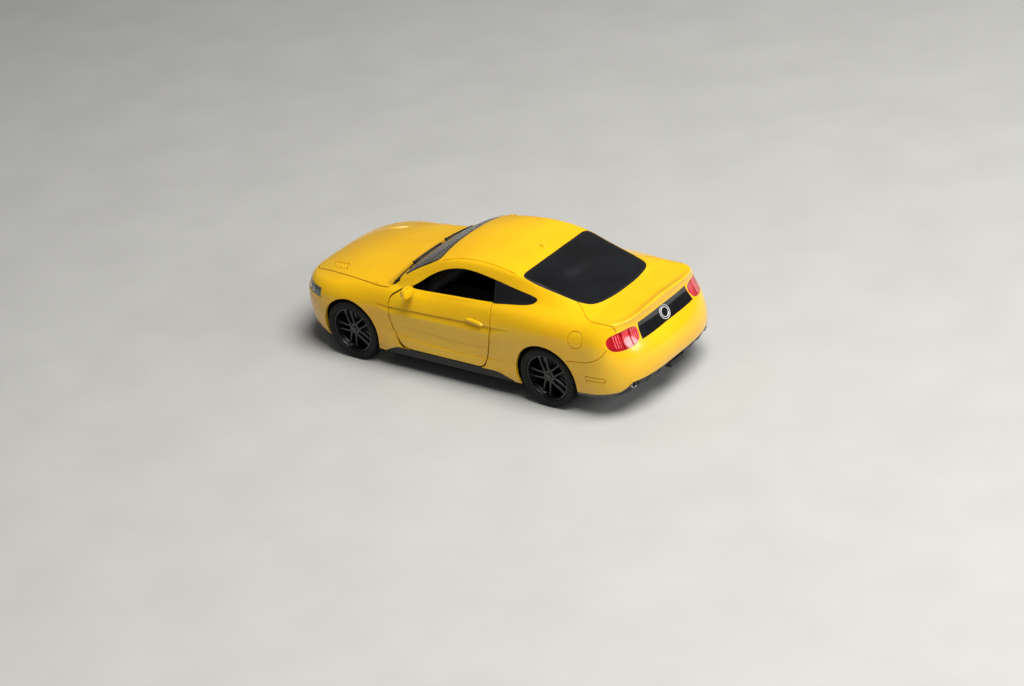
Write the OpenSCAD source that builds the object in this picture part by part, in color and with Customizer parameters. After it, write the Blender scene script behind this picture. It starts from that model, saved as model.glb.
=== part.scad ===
// Collector's diecast sports coupe, 1:24.
// X points to the nose, Y to the driver's left, Z up. The tyres stand on z = 0.

/* [Overall] */
// front axle to rear axle
wheelbase = 113.3; // [94:0.1:137]
// nose tip ahead of the front axle
front_overhang = 39.75; // [33:0.05:48]
// bumper tip behind the rear axle
rear_overhang = 46.25; // [38:0.05:56]
// width over the rear fenders
body_width = 79.8; // [72:0.1:96]
// ground to roof crown
roof_height = 58.4; // [52:0.1:71]

/* [Casting] */
// wall of the cast body, doors and hood
cast_wall = 1.3; // [1:0.05:1.7]
// thickness of the clear and smoked glazing
glazing = 1; // [0.6:0.05:1.2]
// shut line round a door
door_gap = 0.65; // [0.5:0.05:0.8]
// shut line round the hood
hood_gap = 0.45; // [0.4:0.05:0.8]
// gap round each glued or clipped insert
insert_gap = 0.06; // [0.04:0.01:0.1]
// spoiler lip height
lip_height = 1.5; // [0.8:0.1:2]

/* [Wheels] */
// outside of the tyre
tyre_radius = 14.75; // [12.3:0.05:16]
// tyre width
tyre_width = 10; // [8.4:0.1:11]
// rim seat inside the tyre
rim_radius = 11.2; // [10:0.1:11.8]
// outer face of the wheels inside the widest line of the fenders
wheel_inset = 1.1; // [0.9:0.1:2.5]
// free space between tyre and wheel arch
arch_gap = 1.65; // [1.2:0.05:2]
// wheel axle rod
axle_radius = 1; // [0.8:0.05:1.3]
// radial play of the axle in its bearings
axle_play = 0.06; // [0.03:0.01:0.1]
// spokes in each rim
spokes = 10; // [5:1:14]

/* [Hinges] */
// upright door pin
door_pin_radius = 0.45; // [0.35:0.01:0.5]
// hood cross pin
hood_pin_radius = 0.5; // [0.4:0.01:0.6]
// radial play of a hinge pin
pin_play = 0.05; // [0.03:0.01:0.08]
// wall round a hinge pin
knuckle_wall = 0.45; // [0.35:0.05:0.5]

/* [Base] */
// base plate thickness
base_thick = 1.8; // [1.4:0.1:2.2]
// underside of the base plate above the ground
base_height = 8.4; // [7.5:0.1:9]
// plinth screw bore
plinth_bore = 1.25; // [1:0.05:1.6]
// plinth screw bore depth
plinth_depth = 4; // [3:0.1:4.5]
// base screw shank
screw_radius = 0.8; // [0.6:0.05:1]

/* [Cabin] */
// cabin tub sheet
tub_wall = 1.2; // [1:0.1:1.6]
// side of the cabin tub inside the widest line of the fenders
tub_inset = 11.9; // [10.9:0.1:14.2]
// seat width
seat_width = 15; // [12.5:0.1:17]
// steering wheel rim
steering_radius = 5; // [4.2:0.1:6]

/* [Hidden] */

front_axle_x = (wheelbase + rear_overhang - front_overhang) / 2;
rear_axle_x = front_axle_x - wheelbase;
axle_z = tyre_radius;
arch_radius = tyre_radius + arch_gap;
wheel_mid = body_width / 2 - wheel_inset - tyre_width / 2;
tub_half = body_width / 2 - tub_inset;

// the outlines below are drawn for this car, then stretched to the sizes above
drawn_wheelbase = 113.3;
drawn_front_axle = 59.9;
drawn_rear_axle = -53.4;
drawn_front_overhang = 39.75;
drawn_rear_overhang = 46.25;
drawn_width = 79.8;
drawn_height = 58.4;
wide = body_width / drawn_width;
tall = roof_height / drawn_height;

function map_x(x) =
  x > drawn_front_axle ? front_axle_x + (x - drawn_front_axle) * front_overhang / drawn_front_overhang :
  x < drawn_rear_axle ? rear_axle_x + (x - drawn_rear_axle) * rear_overhang / drawn_rear_overhang :
  rear_axle_x + (x - drawn_rear_axle) * wheelbase / drawn_wheelbase;
function map_point(p) = [map_x(p[0]), p[1] * wide, p[2] * tall];
function side_points(pts) = [for (p = pts) [map_x(p[0]), p[1] * tall]];
function plan_points(pts) = [for (p = pts) [map_x(p[0]), p[1] * wide]];
function face_points(pts) = [for (p = pts) [p[0] * wide, p[1] * tall]];

// smooth curve through a few [place, value] points
function knot(p, x, i = 0) = i >= len(p) - 2 || x <= p[i + 1][0] ? i : knot(p, x, i + 1);
function slope(p, i) =
  let (a = max(0, i - 1), b = min(len(p) - 1, i + 1)) (p[b][1] - p[a][1]) / (p[b][0] - p[a][0]);
function curve(p, place) =
  let (
    x = min(max(place, p[0][0]), p[len(p) - 1][0]),
    i = knot(p, x),
    h = p[i + 1][0] - p[i][0],
    t = (x - p[i][0]) / h
  )
  (2 * t ^ 3 - 3 * t ^ 2 + 1) * p[i][1] + (t ^ 3 - 2 * t ^ 2 + t) * h * slope(p, i)
  + (-2 * t ^ 3 + 3 * t ^ 2) * p[i + 1][1] + (t ^ 3 - t ^ 2) * h * slope(p, i + 1);
function ease(t) = let (c = min(max(t, 0), 1)) c * c * (3 - 2 * c);
// corner cutting rounds a closed outline
function soften(p, times) = times == 0 ? p : soften([
  for (i = [0:len(p) - 1]) let (a = p[i], b = p[(i + 1) % len(p)])
  each [a * 0.75 + b * 0.25, a * 0.25 + b * 0.75]
], times - 1);

// Body sides: one entry for each belt round the car, from the bottom edge up.
// [nose x, nose z, nose squareness, tail x, tail z, tail squareness, half width by x, height by x]
belts = [
  [96.5, 7.5, 2.6, -93.5, 12.5, 3, [[-74, 37.4], [-20, 38.2], [20, 38.2], [62, 37.6]],
    [[-74, 9.5], [-50, 8], [62, 8]]],
  [98.8, 11, 2.7, -97.9, 15, 3, [[-74, 38.8], [-20, 39.3], [20, 39.3], [62, 38.9]],
    [[-74, 13], [-50, 11.5], [62, 11.5]]],
  [99.65, 18, 2.8, -99.8, 20.5, 2.9,
    [[-74, 39.2], [-53, 39.6], [-25, 38.6], [0, 38.4], [30, 38.7], [62, 39.4]],
    [[-74, 19], [-20, 17], [20, 17], [62, 18]]],
  [99.4, 24, 2.8, -99.6, 26.5, 2.9,
    [[-74, 39], [-53, 39.9], [-25, 38.3], [0, 37.9], [30, 38.2], [62, 39.5]],
    [[-74, 26], [-20, 24.5], [20, 24], [62, 25]]],
  [98.6, 28, 2.8, -97.2, 31.5, 2.9,
    [[-74, 38.5], [-53, 39.8], [-25, 38.8], [0, 38.6], [30, 38.7], [62, 38.9]],
    [[-74, 33], [-53, 33], [-25, 29.2], [0, 28.8], [30, 29.5], [62, 30]]],
  [97.5, 30.5, 2.8, -93.6, 36, 3.2,
    [[-74, 37.2], [-53, 38.8], [-25, 37.4], [0, 37.2], [30, 37.3], [62, 37.4]],
    [[-74, 38.5], [-53, 38.5], [-25, 35.6], [0, 34.6], [30, 34.2], [62, 33.6]]],
  [96.3, 32, 2.8, -92, 41, 4,
    [[-74, 34.2], [-60, 35.4], [-45, 35.6], [-25, 34.8], [0, 34.6], [36, 34.8], [62, 34.6]],
    [[-74, 42.6], [-60, 43.4], [-45, 43.2], [-20, 41.4], [0, 39.8], [36, 38.9], [62, 36.9]]]
];
top_belt = [94, 2.9, -93.6, 5,
  [[-74, 31.2], [-60, 30], [-42, 30.5], [-20, 32.6], [0, 33], [20, 32.8], [36, 31.6], [62, 31.5]],
  [[-74, 44.6], [-60, 45], [-42, 44.9], [-20, 42], [0, 40.9], [20, 40.2], [36, 40.2], [62, 38.2]]];
hood_line = [[20, 43], [30, 42.8], [40, 42.5], [50, 42], [60, 41.2], [70, 40], [80, 38.2],
  [90, 35.6], [96, 33], [99.65, 30]];
roof_line = [[-74, 46.2], [-66, 48.2], [-56, 51], [-44, 54.6], [-32, 57.2], [-20, 58.3], [-8, 58.5],
  [2, 58], [11, 56.4], [20, 52.6], [30, 47.3], [39, 41.8], [44, 36.5]];
rail_half = [[-74, 21.5], [-66, 22.8], [-50, 24.4], [-35, 25.6], [-15, 25.4], [-2, 25.2], [11, 25.6],
  [24, 28], [36, 31], [44, 32]];
rail_height = [[-74, 45.6], [-66, 47.3], [-50, 51.6], [-35, 55.9], [-20, 57.6], [-10, 57.4], [0, 56.4],
  [11, 54.2], [24, 48.4], [36, 41.4], [44, 37.6]];
deck_line = [[-95, 44.4], [-86, 44.9], [-80, 45.4], [-74, 46.2], [-66, 48.2]];
screen_bow = [[-74, 0], [0, 0], [12, 1.5], [38, 1], [50, 0.5], [62, 0]];
nose_centre = 62;
tail_centre = -74;
cowl_x = 44;
screen_x = 20;
lip_width = 5;
nose_ribs = 6;
mid_ribs = 27;
tail_ribs = 7;
rib_count = nose_ribs + mid_ribs + tail_ribs + 1;
row_steps = [0.92, 0.75, 0.5, 0.25, 0];
rail_steps = [0.35, 0.72, 1];

function hood_z(x, y) = curve(hood_line, x) - 3.4 * pow(abs(y) / 34, 2.4);
function deck_z(x, y) = curve(deck_line, x) - 1.6 * pow(abs(y) / 29.8, 2.2);
function reach(turn, a, b, n) =
  pow(pow(abs(cos(turn)) / a, n) + pow(abs(sin(turn)) / b, n), -1 / n);

function mid_top(x) =
  let (
    y0 = curve(top_belt[4], x), z0 = curve(top_belt[5], x),
    xr = min(x, cowl_x),
    k = x > cowl_x ? ease((x - cowl_x) / (nose_centre - cowl_x)) : 0,
    yr = curve(rail_half, xr) * (1 - k) + 22 * k,
    zr = curve(rail_height, xr), zc = curve(roof_line, xr),
    flat = concat([[y0, z0]], [for (t = rail_steps) [y0 + (yr - y0) * t, z0 + (zr - z0) * t]],
      [for (t = row_steps) [yr * t, zc - (zc - zr) * pow(t, 2.4)]])
  )
  [for (p = flat) let (
    xx = x + curve(screen_bow, x) * (1 - min(1, pow(p[0] / y0, 2))),
    h = hood_z(xx, p[0])
  ) [xx, p[0], x > cowl_x ? h : x > screen_x ? max(p[1], h) : p[1]]];
function mid_rib(x) = concat([for (b = belts) [x, curve(b[6], x), curve(b[7], x)]], mid_top(x));
function fan_rib(turn, front) =
  let (
    x0 = front ? nose_centre : tail_centre, way = front ? 1 : -1,
    w = ease(turn / 90), side = mid_rib(x0), n = len(belts),
    side_y = curve(top_belt[4], x0),
    r0 = reach(turn, abs(top_belt[front ? 0 : 2] - x0), side_y, top_belt[front ? 1 : 3])
  )
  concat(
    [for (b = belts) let (
      x1 = b[front ? 0 : 3], y1 = curve(b[6], x0), r = reach(turn, abs(x1 - x0), y1, b[front ? 2 : 5])
    ) [x0 + way * r * cos(turn), r * sin(turn), b[front ? 1 : 4] * (1 - w) + curve(b[7], x0) * w]],
    [for (j = [n:len(side) - 1]) let (
      r = r0 * side[j][1] / side_y, x = x0 + way * r * cos(turn), y = r * sin(turn),
      lip = lip_height * (1 - ease((r0 - r) / lip_width)) * ease((92 - turn) / 25)
    ) [x, y, front ? hood_z(x, y) : deck_z(x, y) + lip]]
  );
function drawn_rib(i) =
  i < nose_ribs ? fan_rib(90 * i / nose_ribs, true) :
  i <= nose_ribs + mid_ribs ? mid_rib(nose_centre + (tail_centre - nose_centre) * (i - nose_ribs) / mid_ribs) :
  fan_rib(90 - 90 * (i - nose_ribs - mid_ribs) / tail_ribs, false);
function flip(p) = [p[0], -p[1], p[2]];
function smooth_rib(p) = [for (k = [0:len(p) - 1]) let (
  a = k == 0 ? 2 * p[0] - p[1] : p[k - 1],
  c = k == len(p) - 1 ? flip(p[k - 1]) : p[k + 1]
) (a + 4 * p[k] + c) / 6];
ribs = [for (i = [0:rib_count - 1]) [for (p = smooth_rib(drawn_rib(i))) map_point(p)]];
rows = len(ribs[0]);

function rib_point(i, k) =
  i < 0 ? flip(ribs[1][k]) : i >= rib_count ? flip(ribs[rib_count - 2][k]) :
  k < 0 ? ribs[i][0] : k >= rows ? flip(ribs[i][rows - 2]) : ribs[i][k];
function outward(i, k) =
  let (n = cross(rib_point(i + 1, k) - rib_point(i - 1, k), rib_point(i, k + 1) - rib_point(i, k - 1)))
  n / norm(n);

// the body as one solid, taken in by depth all round; drop lets a cutter run out below
module body_block(depth, drop) {
  loop = 2 * rib_count - 2;
  crown = rib_count - nose_ribs - tail_ribs;
  function half_rib(j) = j < rib_count ? j : loop - j;
  function placed(i, k) =
    let (p = ribs[i][k] - depth * outward(i, k)) k == 0 ? [p[0], p[1], p[2] - drop] : p;
  points = concat(
    [for (k = [0:rows - 2]) for (j = [0:loop - 1]) let (p = placed(half_rib(j), k)) j < rib_count ? p : flip(p)],
    [for (i = [nose_ribs:nose_ribs + crown - 1]) let (p = placed(i, rows - 1)) [p[0], 0, p[2]]]
  );
  function at(j, k) = k * loop + j % loop;
  function top(j) = (rows - 1) * loop + min(max(half_rib(j % loop) - nose_ribs, 0), crown - 1);
  faces = concat(
    [for (k = [0:rows - 3]) for (j = [0:loop - 1]) each [
      [at(j, k), at(j + 1, k + 1), at(j + 1, k)], [at(j, k), at(j, k + 1), at(j + 1, k + 1)]]],
    [for (j = [0:loop - 1]) let (a = at(j, rows - 2), b = at(j + 1, rows - 2), c = top(j), d = top(j + 1))
      each c == d ? [[a, c, b]] : [[a, c, d], [a, d, b]]],
    [for (i = [1:rib_count - 3]) each [
      [i, i + 1, loop - i - 1], [i, loop - i - 1, loop - i]]],
    [[0, 1, loop - 1], [rib_count - 1, rib_count, rib_count - 2]]
  );
  polyhedron(points = points, faces = faces);
}

// sculpted pieces are made as one mesh
module one_mesh() resize([0, 0, 0]) children();
module on_side(side) if (side > 0) children(); else mirror([0, 1, 0]) children();
module both_sides() { children(); mirror([0, 1, 0]) children(); }
module skin(outer, inner) difference() {
  body_block(outer, 0);
  body_block(inner, 6);
}

// cutters: seen from the side, from above, and from the front
module side_zone(outline, grow = 0)
  translate([0, 60 * wide, 0]) rotate([90, 0, 0]) linear_extrude(height = 45 * wide)
    offset(delta = grow) polygon(side_points(outline));
module plan_zone(outline, grow = 0, low = 10, high = 80)
  translate([0, 0, low * tall]) linear_extrude(height = (high - low) * tall)
    offset(delta = grow) polygon(plan_points(outline));
module face_zone(outline, back, front, grow = 0)
  translate([map_x(back), 0, 0]) rotate([90, 0, 90]) linear_extrude(height = map_x(front) - map_x(back))
    offset(delta = grow) polygon(face_points(outline));

window_outline = soften([[25.4, 40.9], [19.3, 44.5], [13.5, 48.4], [7, 51.5], [0, 53.4], [-7, 54.1],
  [-14, 53.8], [-23.5, 52.6], [-34.5, 50.4], [-42.3, 48.9], [-47, 47.6], [-45, 45.7], [-41, 44.8],
  [-31.7, 43.8], [-22.4, 42.7], [-10.9, 42.2], [6.5, 41.4], [21.2, 40.6]], 1);
quarter_part = [[-23.9, 38], [-22.6, 60], [-60, 60], [-60, 38]];
door_outline = [[-22.6, 44.6], [-23.7, 38], [-23.9, 32.5], [-22.4, 25], [-20.4, 18], [-19, 14.2], [-16.5, 12.8],
  [24, 12.8], [27.6, 13.4], [29.8, 15.2], [31.8, 18.8], [33.4, 22.4], [34.4, 26.5], [34.9, 30.5], [34.9, 33.6],
  [33.9, 36.9], [28.7, 40], [24, 41.6], [6.5, 43], [-10.9, 44]];
// the body gives way where the lower front corner of the door swings past
door_relief = [[24, 12.4], [29.8, 12.4], [31.1, 13.8], [31.7, 16], [32.3, 18.4], [30, 19]];
door_card_outline = soften([[20, 17], [20, 31], [14, 37], [-15, 38.5], [-20, 33], [-18, 17]], 2);
sill_outline = [[44, 0], [41.5, 8], [33, 12.3], [-27, 12.3], [-35.5, 8.3], [-37, 0]];
screen_outline = soften([[12, 0], [11.4, 16], [10.2, 23.9], [12.6, 25.3], [24, 27.6], [31.6, 29.8],
  [31.9, 0], [31.6, -29.8], [24, -27.6], [12.6, -25.3], [10.2, -23.9], [11.4, -16]], 1);
cowl_outline = [[31.9, 30.6], [35.4, 31.6], [35.4, -31.6], [31.9, -30.6]];
// the opening for the cowl panel runs into the windscreen opening and the hood opening
cowl_opening = [[31.2, 29.3], [31.8, 30.6], [38, 32.36], [38, -32.36], [31.8, -30.6], [31.2, -29.3]];
rear_glass_outline = soften([[-36.6, 0], [-36.4, 15], [-35.8, 24.4], [-40, 25.4], [-56, 24], [-66, 23.2],
  [-72, 20.5], [-74.4, 10], [-74.8, 0], [-74.4, -10], [-72, -20.5], [-66, -23.2], [-56, -24],
  [-40, -25.4], [-35.8, -24.4], [-36.4, -15]], 1);
hood_outline = [[95.3, 0], [94.8, 9], [93, 17.5], [89.4, 22.9], [71.5, 27.7], [56.4, 30.6], [42.2, 32.8],
  [36.5, 32.8], [36.4, 0], [36.5, -32.8], [42.2, -32.8], [56.4, -30.6], [71.5, -27.7], [89.4, -22.9],
  [93, -17.5], [94.8, -9]];
tail_lamp_outline = soften([[19, 40.9], [20.6, 33.4], [31.5, 32.4], [34.9, 33.6], [34.9, 37.6], [32.3, 40.3]], 1);
tail_panel_outline = [[18.5, 40.7], [20, 33.7], [-20, 33.7], [-18.5, 40.7]];
diffuser_outline = [[-33.5, 0], [-33.5, 12.8], [-29.5, 17.3], [29.5, 17.3], [33.5, 12.8], [33.5, 0]];
splitter_outline = [[-36, 0], [-36, 9.3], [-28, 11], [28, 11], [36, 9.3], [36, 0]];
grille_outline = [[-20.5, 21.5], [-22.5, 25.5], [-20, 29.4], [20, 29.4], [22.5, 25.5], [20.5, 21.5]];
intake_outline = [[-27, 12.8], [-24, 17.8], [24, 17.8], [27, 12.8]];
headlamp_plan = [[102, 24], [102, 44], [78.5, 44], [77, 38], [77, 34], [88, 27.5], [93.5, 24]];
headlamp_low = 28;
headlamp_high = 32.8;

module headlamp_zone(grow = 0)
  plan_zone(headlamp_plan, grow, headlamp_low - grow / tall, headlamp_high + grow / tall);
module tail_lamp_zone(grow = 0) face_zone(tail_lamp_outline, -104, -85.6 + grow, grow);

// base screws and the posts they bite
screw_spots = [[81, 28.5], [-78, 25]];
post_radius = screw_radius + 1.3;
screw_bite = 6;
screw_head_radius = screw_radius * 2.1;
screw_head_height = 0.9;

// hinge places
door_pin_x = 24;
door_pin_y = 37.2 * wide - cast_wall;
door_pin_low = 14.6;
door_pin_high = 29.8;
door_knuckles = [[15.5, 18.5], [26, 29]];
door_knuckle_radius = door_pin_radius + knuckle_wall;
hood_pin = [53, 38.4];
hood_pin_spots = [15, -15];
hood_knuckle_radius = hood_pin_radius + knuckle_wall;
hood_lug_width = 1.6;
hood_lug_gap = 0.3;
hood_lug_rise = 2;
hood_post_width = 2.4;

function wheel_x(front) = front ? front_axle_x : rear_axle_x;
module along_y(x, y0, y1, z, r)
  translate([x, y0, z]) rotate([-90, 0, 0]) cylinder(h = y1 - y0, r = r, $fn = 48);

paint = "gold";
black = "dimgray";

module body_shell() color(paint) one_mesh() difference() {
  union() {
    difference() {
      body_block(0, 0);
      body_block(cast_wall, 6);
      both_sides() {
        side_zone(window_outline);
        side_zone(door_outline, door_gap);
        side_zone(door_relief);
        side_zone(sill_outline);
        headlamp_zone();
        tail_lamp_zone();
      }
      plan_zone(screen_outline);
      plan_zone(cowl_opening, 0, 30);
      plan_zone(rear_glass_outline);
      plan_zone(hood_outline, hood_gap, 26);
      face_zone(tail_panel_outline, -104, -86);
      face_zone(diffuser_outline, -104, -80);
      face_zone(splitter_outline, 74, 104);
      face_zone(grille_outline, 84, 104);
      face_zone(intake_outline, 84, 104);
      for (front = [true, false]) both_sides()
        translate([wheel_x(front), 24 * wide, axle_z]) rotate([-90, 0, 0])
          cylinder(h = 30 * wide, r = arch_radius, $fn = 48);
      for (p = screw_spots) both_sides()
        translate([map_x(p[0]), p[1] * wide, 0]) cylinder(h = base_height + base_thick + 2, r = post_radius + 1);
    }
    for (p = screw_spots) both_sides() screw_post(p);
  }
  for (p = screw_spots) both_sides()
    translate([map_x(p[0]), p[1] * wide, 0])
      cylinder(h = base_height + base_thick + screw_bite + 1, r = screw_radius / cos(180 / 32), $fn = 32);
}
module screw_post(p) intersection() {
  body_block(cast_wall / 2, 0);
  translate([map_x(p[0]), p[1] * wide, base_height + base_thick + 0.05])
    cylinder(h = 60 * tall, r = post_radius, $fn = 20);
}

module hood() color(paint) difference() {
  union() {
    one_mesh() intersection() {
      skin(0, cast_wall);
      plan_zone(hood_outline, 0, 26);
    }
    for (y = hood_pin_spots) for (way = [-1, 1]) hood_lug(y, way);
  }
  for (y = hood_pin_spots) hood_crosswise(y, 5, hood_pin_radius + pin_play);
}
// a round bar on the hood's hinge line, out to half on each side of y
module hood_crosswise(y, half, r) along_y(map_x(hood_pin[0]), y * wide - half, y * wide + half, hood_pin[1] * tall, r);
module hood_lug(y, way) {
  mid = y * wide + way * (hood_post_width / 2 + hood_lug_gap + hood_lug_width / 2);
  hood_crosswise(mid / wide, hood_lug_width / 2, hood_knuckle_radius);
  translate([map_x(hood_pin[0]) - hood_knuckle_radius, mid - hood_lug_width / 2, hood_pin[1] * tall])
    cube([2 * hood_knuckle_radius, hood_lug_width, hood_lug_rise]);
}
module hood_hinge_pin(y) color("silver")
  hood_crosswise(y, hood_post_width / 2 + hood_lug_width, hood_pin_radius);
module hood_hinge_pin_left() hood_hinge_pin(hood_pin_spots[0]);
module hood_hinge_pin_right() hood_hinge_pin(hood_pin_spots[1]);

module door(side) color(paint) on_side(side) difference() {
  union() {
    one_mesh() union() {
      intersection() {
        skin(0, cast_wall);
        difference() {
          side_zone(door_outline);
          side_zone(window_outline);
        }
      }
      hull() {
        translate(map_point([-10.5, 37.1, 34.5])) sphere(r = 0.8, $fn = 10);
        translate(map_point([-19.5, 37.5, 33.8])) sphere(r = 0.8, $fn = 10);
      }
    }
    for (z = door_knuckles) {
      door_upright(z[0], z[1], door_knuckle_radius);
      translate([map_x(door_pin_x) - door_knuckle_radius, door_pin_y, z[0] * tall])
        cube([2 * door_knuckle_radius, 2, (z[1] - z[0]) * tall]);
    }
  }
  door_upright(10, 34, door_pin_radius + pin_play);
}
module door_upright(z0, z1, r)
  translate([map_x(door_pin_x), door_pin_y, z0 * tall]) cylinder(h = (z1 - z0) * tall, r = r, $fn = 32);
module door_left() door(1);
module door_right() door(-1);
module door_hinge_pin_left() color("silver") door_upright(door_pin_low, door_pin_high, door_pin_radius);
module door_hinge_pin_right() mirror([0, 1, 0]) door_hinge_pin_left();

module door_card(side) color(black) on_side(side) one_mesh() intersection() {
  skin(cast_wall, cast_wall + 0.9);
  side_zone(door_card_outline);
}
module door_card_left() door_card(1);
module door_card_right() door_card(-1);

mirror_middle = [20.6, 39.4, 43.4];
mirror_size = [4.4, 7.6, 5.4];
module mirror_housing(side) color(paint) on_side(side) one_mesh() difference() {
  union() {
    hull() for (dy = [-0.5, 0.5]) for (dz = [-0.5, 0.5])
      translate(map_point(mirror_middle) + [0, dy * (mirror_size[1] - 3.6), dz * (mirror_size[2] - 3.6)])
        sphere(r = 1.9, $fn = 14);
    hull() {
      translate(map_point(mirror_middle) + [0.4, -mirror_size[1] / 2 + 1.4, -1.2]) sphere(r = 1, $fn = 10);
      translate(map_point([22.2, 33.6, 41.1])) sphere(r = 0.8, $fn = 10);
    }
  }
  body_block(-0.03, 0);
  translate(map_point(mirror_middle) - [4.6, 10, 10]) cube([3.4, 20, 20]);
}
module mirror_left() mirror_housing(1);
module mirror_right() mirror_housing(-1);
module mirror_glass(side) color("lightsteelblue") on_side(side)
  translate(map_point(mirror_middle) + [-1.2 - 0.35, 0, 0]) rotate([0, 90, 0])
    linear_extrude(height = 0.35) square([mirror_size[2] - 1.7, mirror_size[1] - 1.9], center = true);
module mirror_glass_left() mirror_glass(1);
module mirror_glass_right() mirror_glass(-1);

module pane(depth) skin(depth, depth + glazing);
module windscreen() color("slategray") one_mesh() intersection() {
  pane(0.25);
  plan_zone(screen_outline, -insert_gap);
}
module rear_window() color("black") one_mesh() intersection() {
  pane(0.25);
  plan_zone(rear_glass_outline, -insert_gap);
}
module quarter_window(side) color("black") on_side(side) one_mesh() intersection() {
  pane(0.3);
  side_zone(window_outline, -insert_gap);
  side_zone(quarter_part);
}
module quarter_window_left() quarter_window(1);
module quarter_window_right() quarter_window(-1);
module cowl_panel() color(black) one_mesh() intersection() {
  skin(0.45, 1.5);
  plan_zone(cowl_outline, -insert_gap, 30);
}
module wiper(side) color(black) one_mesh() {
  pivot = map_point([34, side > 0 ? 16 : -8, 42]);
  tip = map_point([32.4, side > 0 ? -1 : -25, 42.6]);
  intersection() {
    hull() for (p = [pivot, tip]) translate([p[0], p[1], 38 * tall]) cylinder(h = 8 * tall, r = 0.45, $fn = 8);
    difference() { body_block(-0.5, 0); body_block(0.44, 0); }
  }
}
module wiper_left() wiper(1);
module wiper_right() wiper(-1);
module antenna_nub() color(paint) one_mesh() intersection() {
  translate(map_point([-29.5, 0, 57.3])) scale([2, 0.8, 1.1]) sphere(r = 1, $fn = 16);
  difference() { body_block(-2, 0); body_block(0, 0); }
}

// base
base_plan = [[93, 0], [92.5, 12], [90, 21], [86, 27], [80, 31.8], [77.8, 33.4], [77.8, 25], [42.2, 25],
  [42.2, 35.4], [-35.6, 35.4], [-35.6, 25], [-71.2, 25], [-71.2, 34.6], [-80, 34], [-86, 32], [-90, 27],
  [-92, 18], [-92.4, 0]];
base_tail = [-82, -93.5, 3.4];
skirt_outline = [[-34, 8.4], [-27.4, 11.9], [32.8, 11.9], [40, 8.4]];
bearing_y = 21.5;
bearing_width = 4;
bearing_half = 3;
bearing_cap = 2.4;
skirt_y = 38.2;
screw_clearance = 0.1;
plinth_spots = [35, -45.5];
plinth_pad = 3;
plinth_drop = 0.8;
module base_plate() color(black) difference() {
  union() {
    intersection() {
      base_slab();
      both_sides() linear_extrude(height = 40) polygon(plan_points(base_plan));
    }
    both_sides() translate([0, skirt_y * wide, 0]) rotate([90, 0, 0]) linear_extrude(height = 4 * wide)
      polygon([for (p = skirt_outline) [map_x(p[0]), base_height + (p[1] - 8.4) * tall]]);
    for (front = [true, false]) both_sides()
      translate([wheel_x(front) - bearing_half, bearing_y * wide - bearing_width / 2, base_height])
        cube([2 * bearing_half, bearing_width, axle_z + bearing_cap - base_height]);
    for (x = plinth_spots)
      translate([map_x(x), 0, base_height - plinth_drop]) cylinder(h = plinth_depth + 1.8, r = plinth_pad, $fn = 48);
  }
  for (front = [true, false])
    along_y(wheel_x(front), -30 * wide, 30 * wide, axle_z, axle_radius + axle_play);
  for (x = plinth_spots)
    translate([map_x(x), 0, base_height - plinth_drop - 0.01]) cylinder(h = plinth_depth + 0.01, r = plinth_bore, $fn = 48);
  for (p = screw_spots) both_sides() translate([map_x(p[0]), p[1] * wide, 0]) {
    cylinder(h = 30, r = screw_radius + screw_clearance, $fn = 32);
    cylinder(h = screw_seat, r = screw_head_radius + screw_clearance + 0.05, $fn = 32);
  }
}
// flat underneath, kicking up behind the rear screws
module base_slab() {
  kick = map_x(base_tail[0]);
  tail = map_x(base_tail[1]);
  rise = base_tail[2] * tall;
  side_plate([[map_x(94), base_height], [kick, base_height], [tail, base_height + rise],
    [tail, base_height + rise + base_thick], [kick, base_height + base_thick], [map_x(94), base_height + base_thick]],
    -45 * wide, 45 * wide);
}
screw_seat = base_height + screw_head_height;
module base_screws() color("silver") for (p = screw_spots) both_sides()
  translate([map_x(p[0]), p[1] * wide, 0]) {
    translate([0, 0, base_height]) cylinder(h = screw_head_height, r = screw_head_radius, $fn = 32);
    translate([0, 0, screw_seat - 0.1])
      cylinder(h = base_thick + screw_bite - screw_head_height, r = screw_radius, $fn = 32);
  }

liner_wall = 0.8;
liner_inner = 25.4;
liner_outer = 36.2;
liner_reach = arch_radius + liner_wall + 0.2;
module wheel_liner(front, side) color(black) on_side(side)
  translate([wheel_x(front), 0, axle_z]) difference() {
    translate([0, liner_inner * wide, 0]) rotate([-90, 0, 0])
      cylinder(h = (liner_outer - liner_inner) * wide, r = arch_radius + liner_wall, $fn = 64);
    translate([0, liner_inner * wide + liner_wall, 0]) rotate([-90, 0, 0])
      cylinder(h = 20 * wide, r = arch_radius, $fn = 64);
    translate([-30, 20 * wide, -60 + 3]) cube([60, 30 * wide, 60]);
  }
module wheel_liner_front_left() wheel_liner(true, 1);
module wheel_liner_front_right() wheel_liner(true, -1);
module wheel_liner_rear_left() wheel_liner(false, 1);
module wheel_liner_rear_right() wheel_liner(false, -1);

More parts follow.
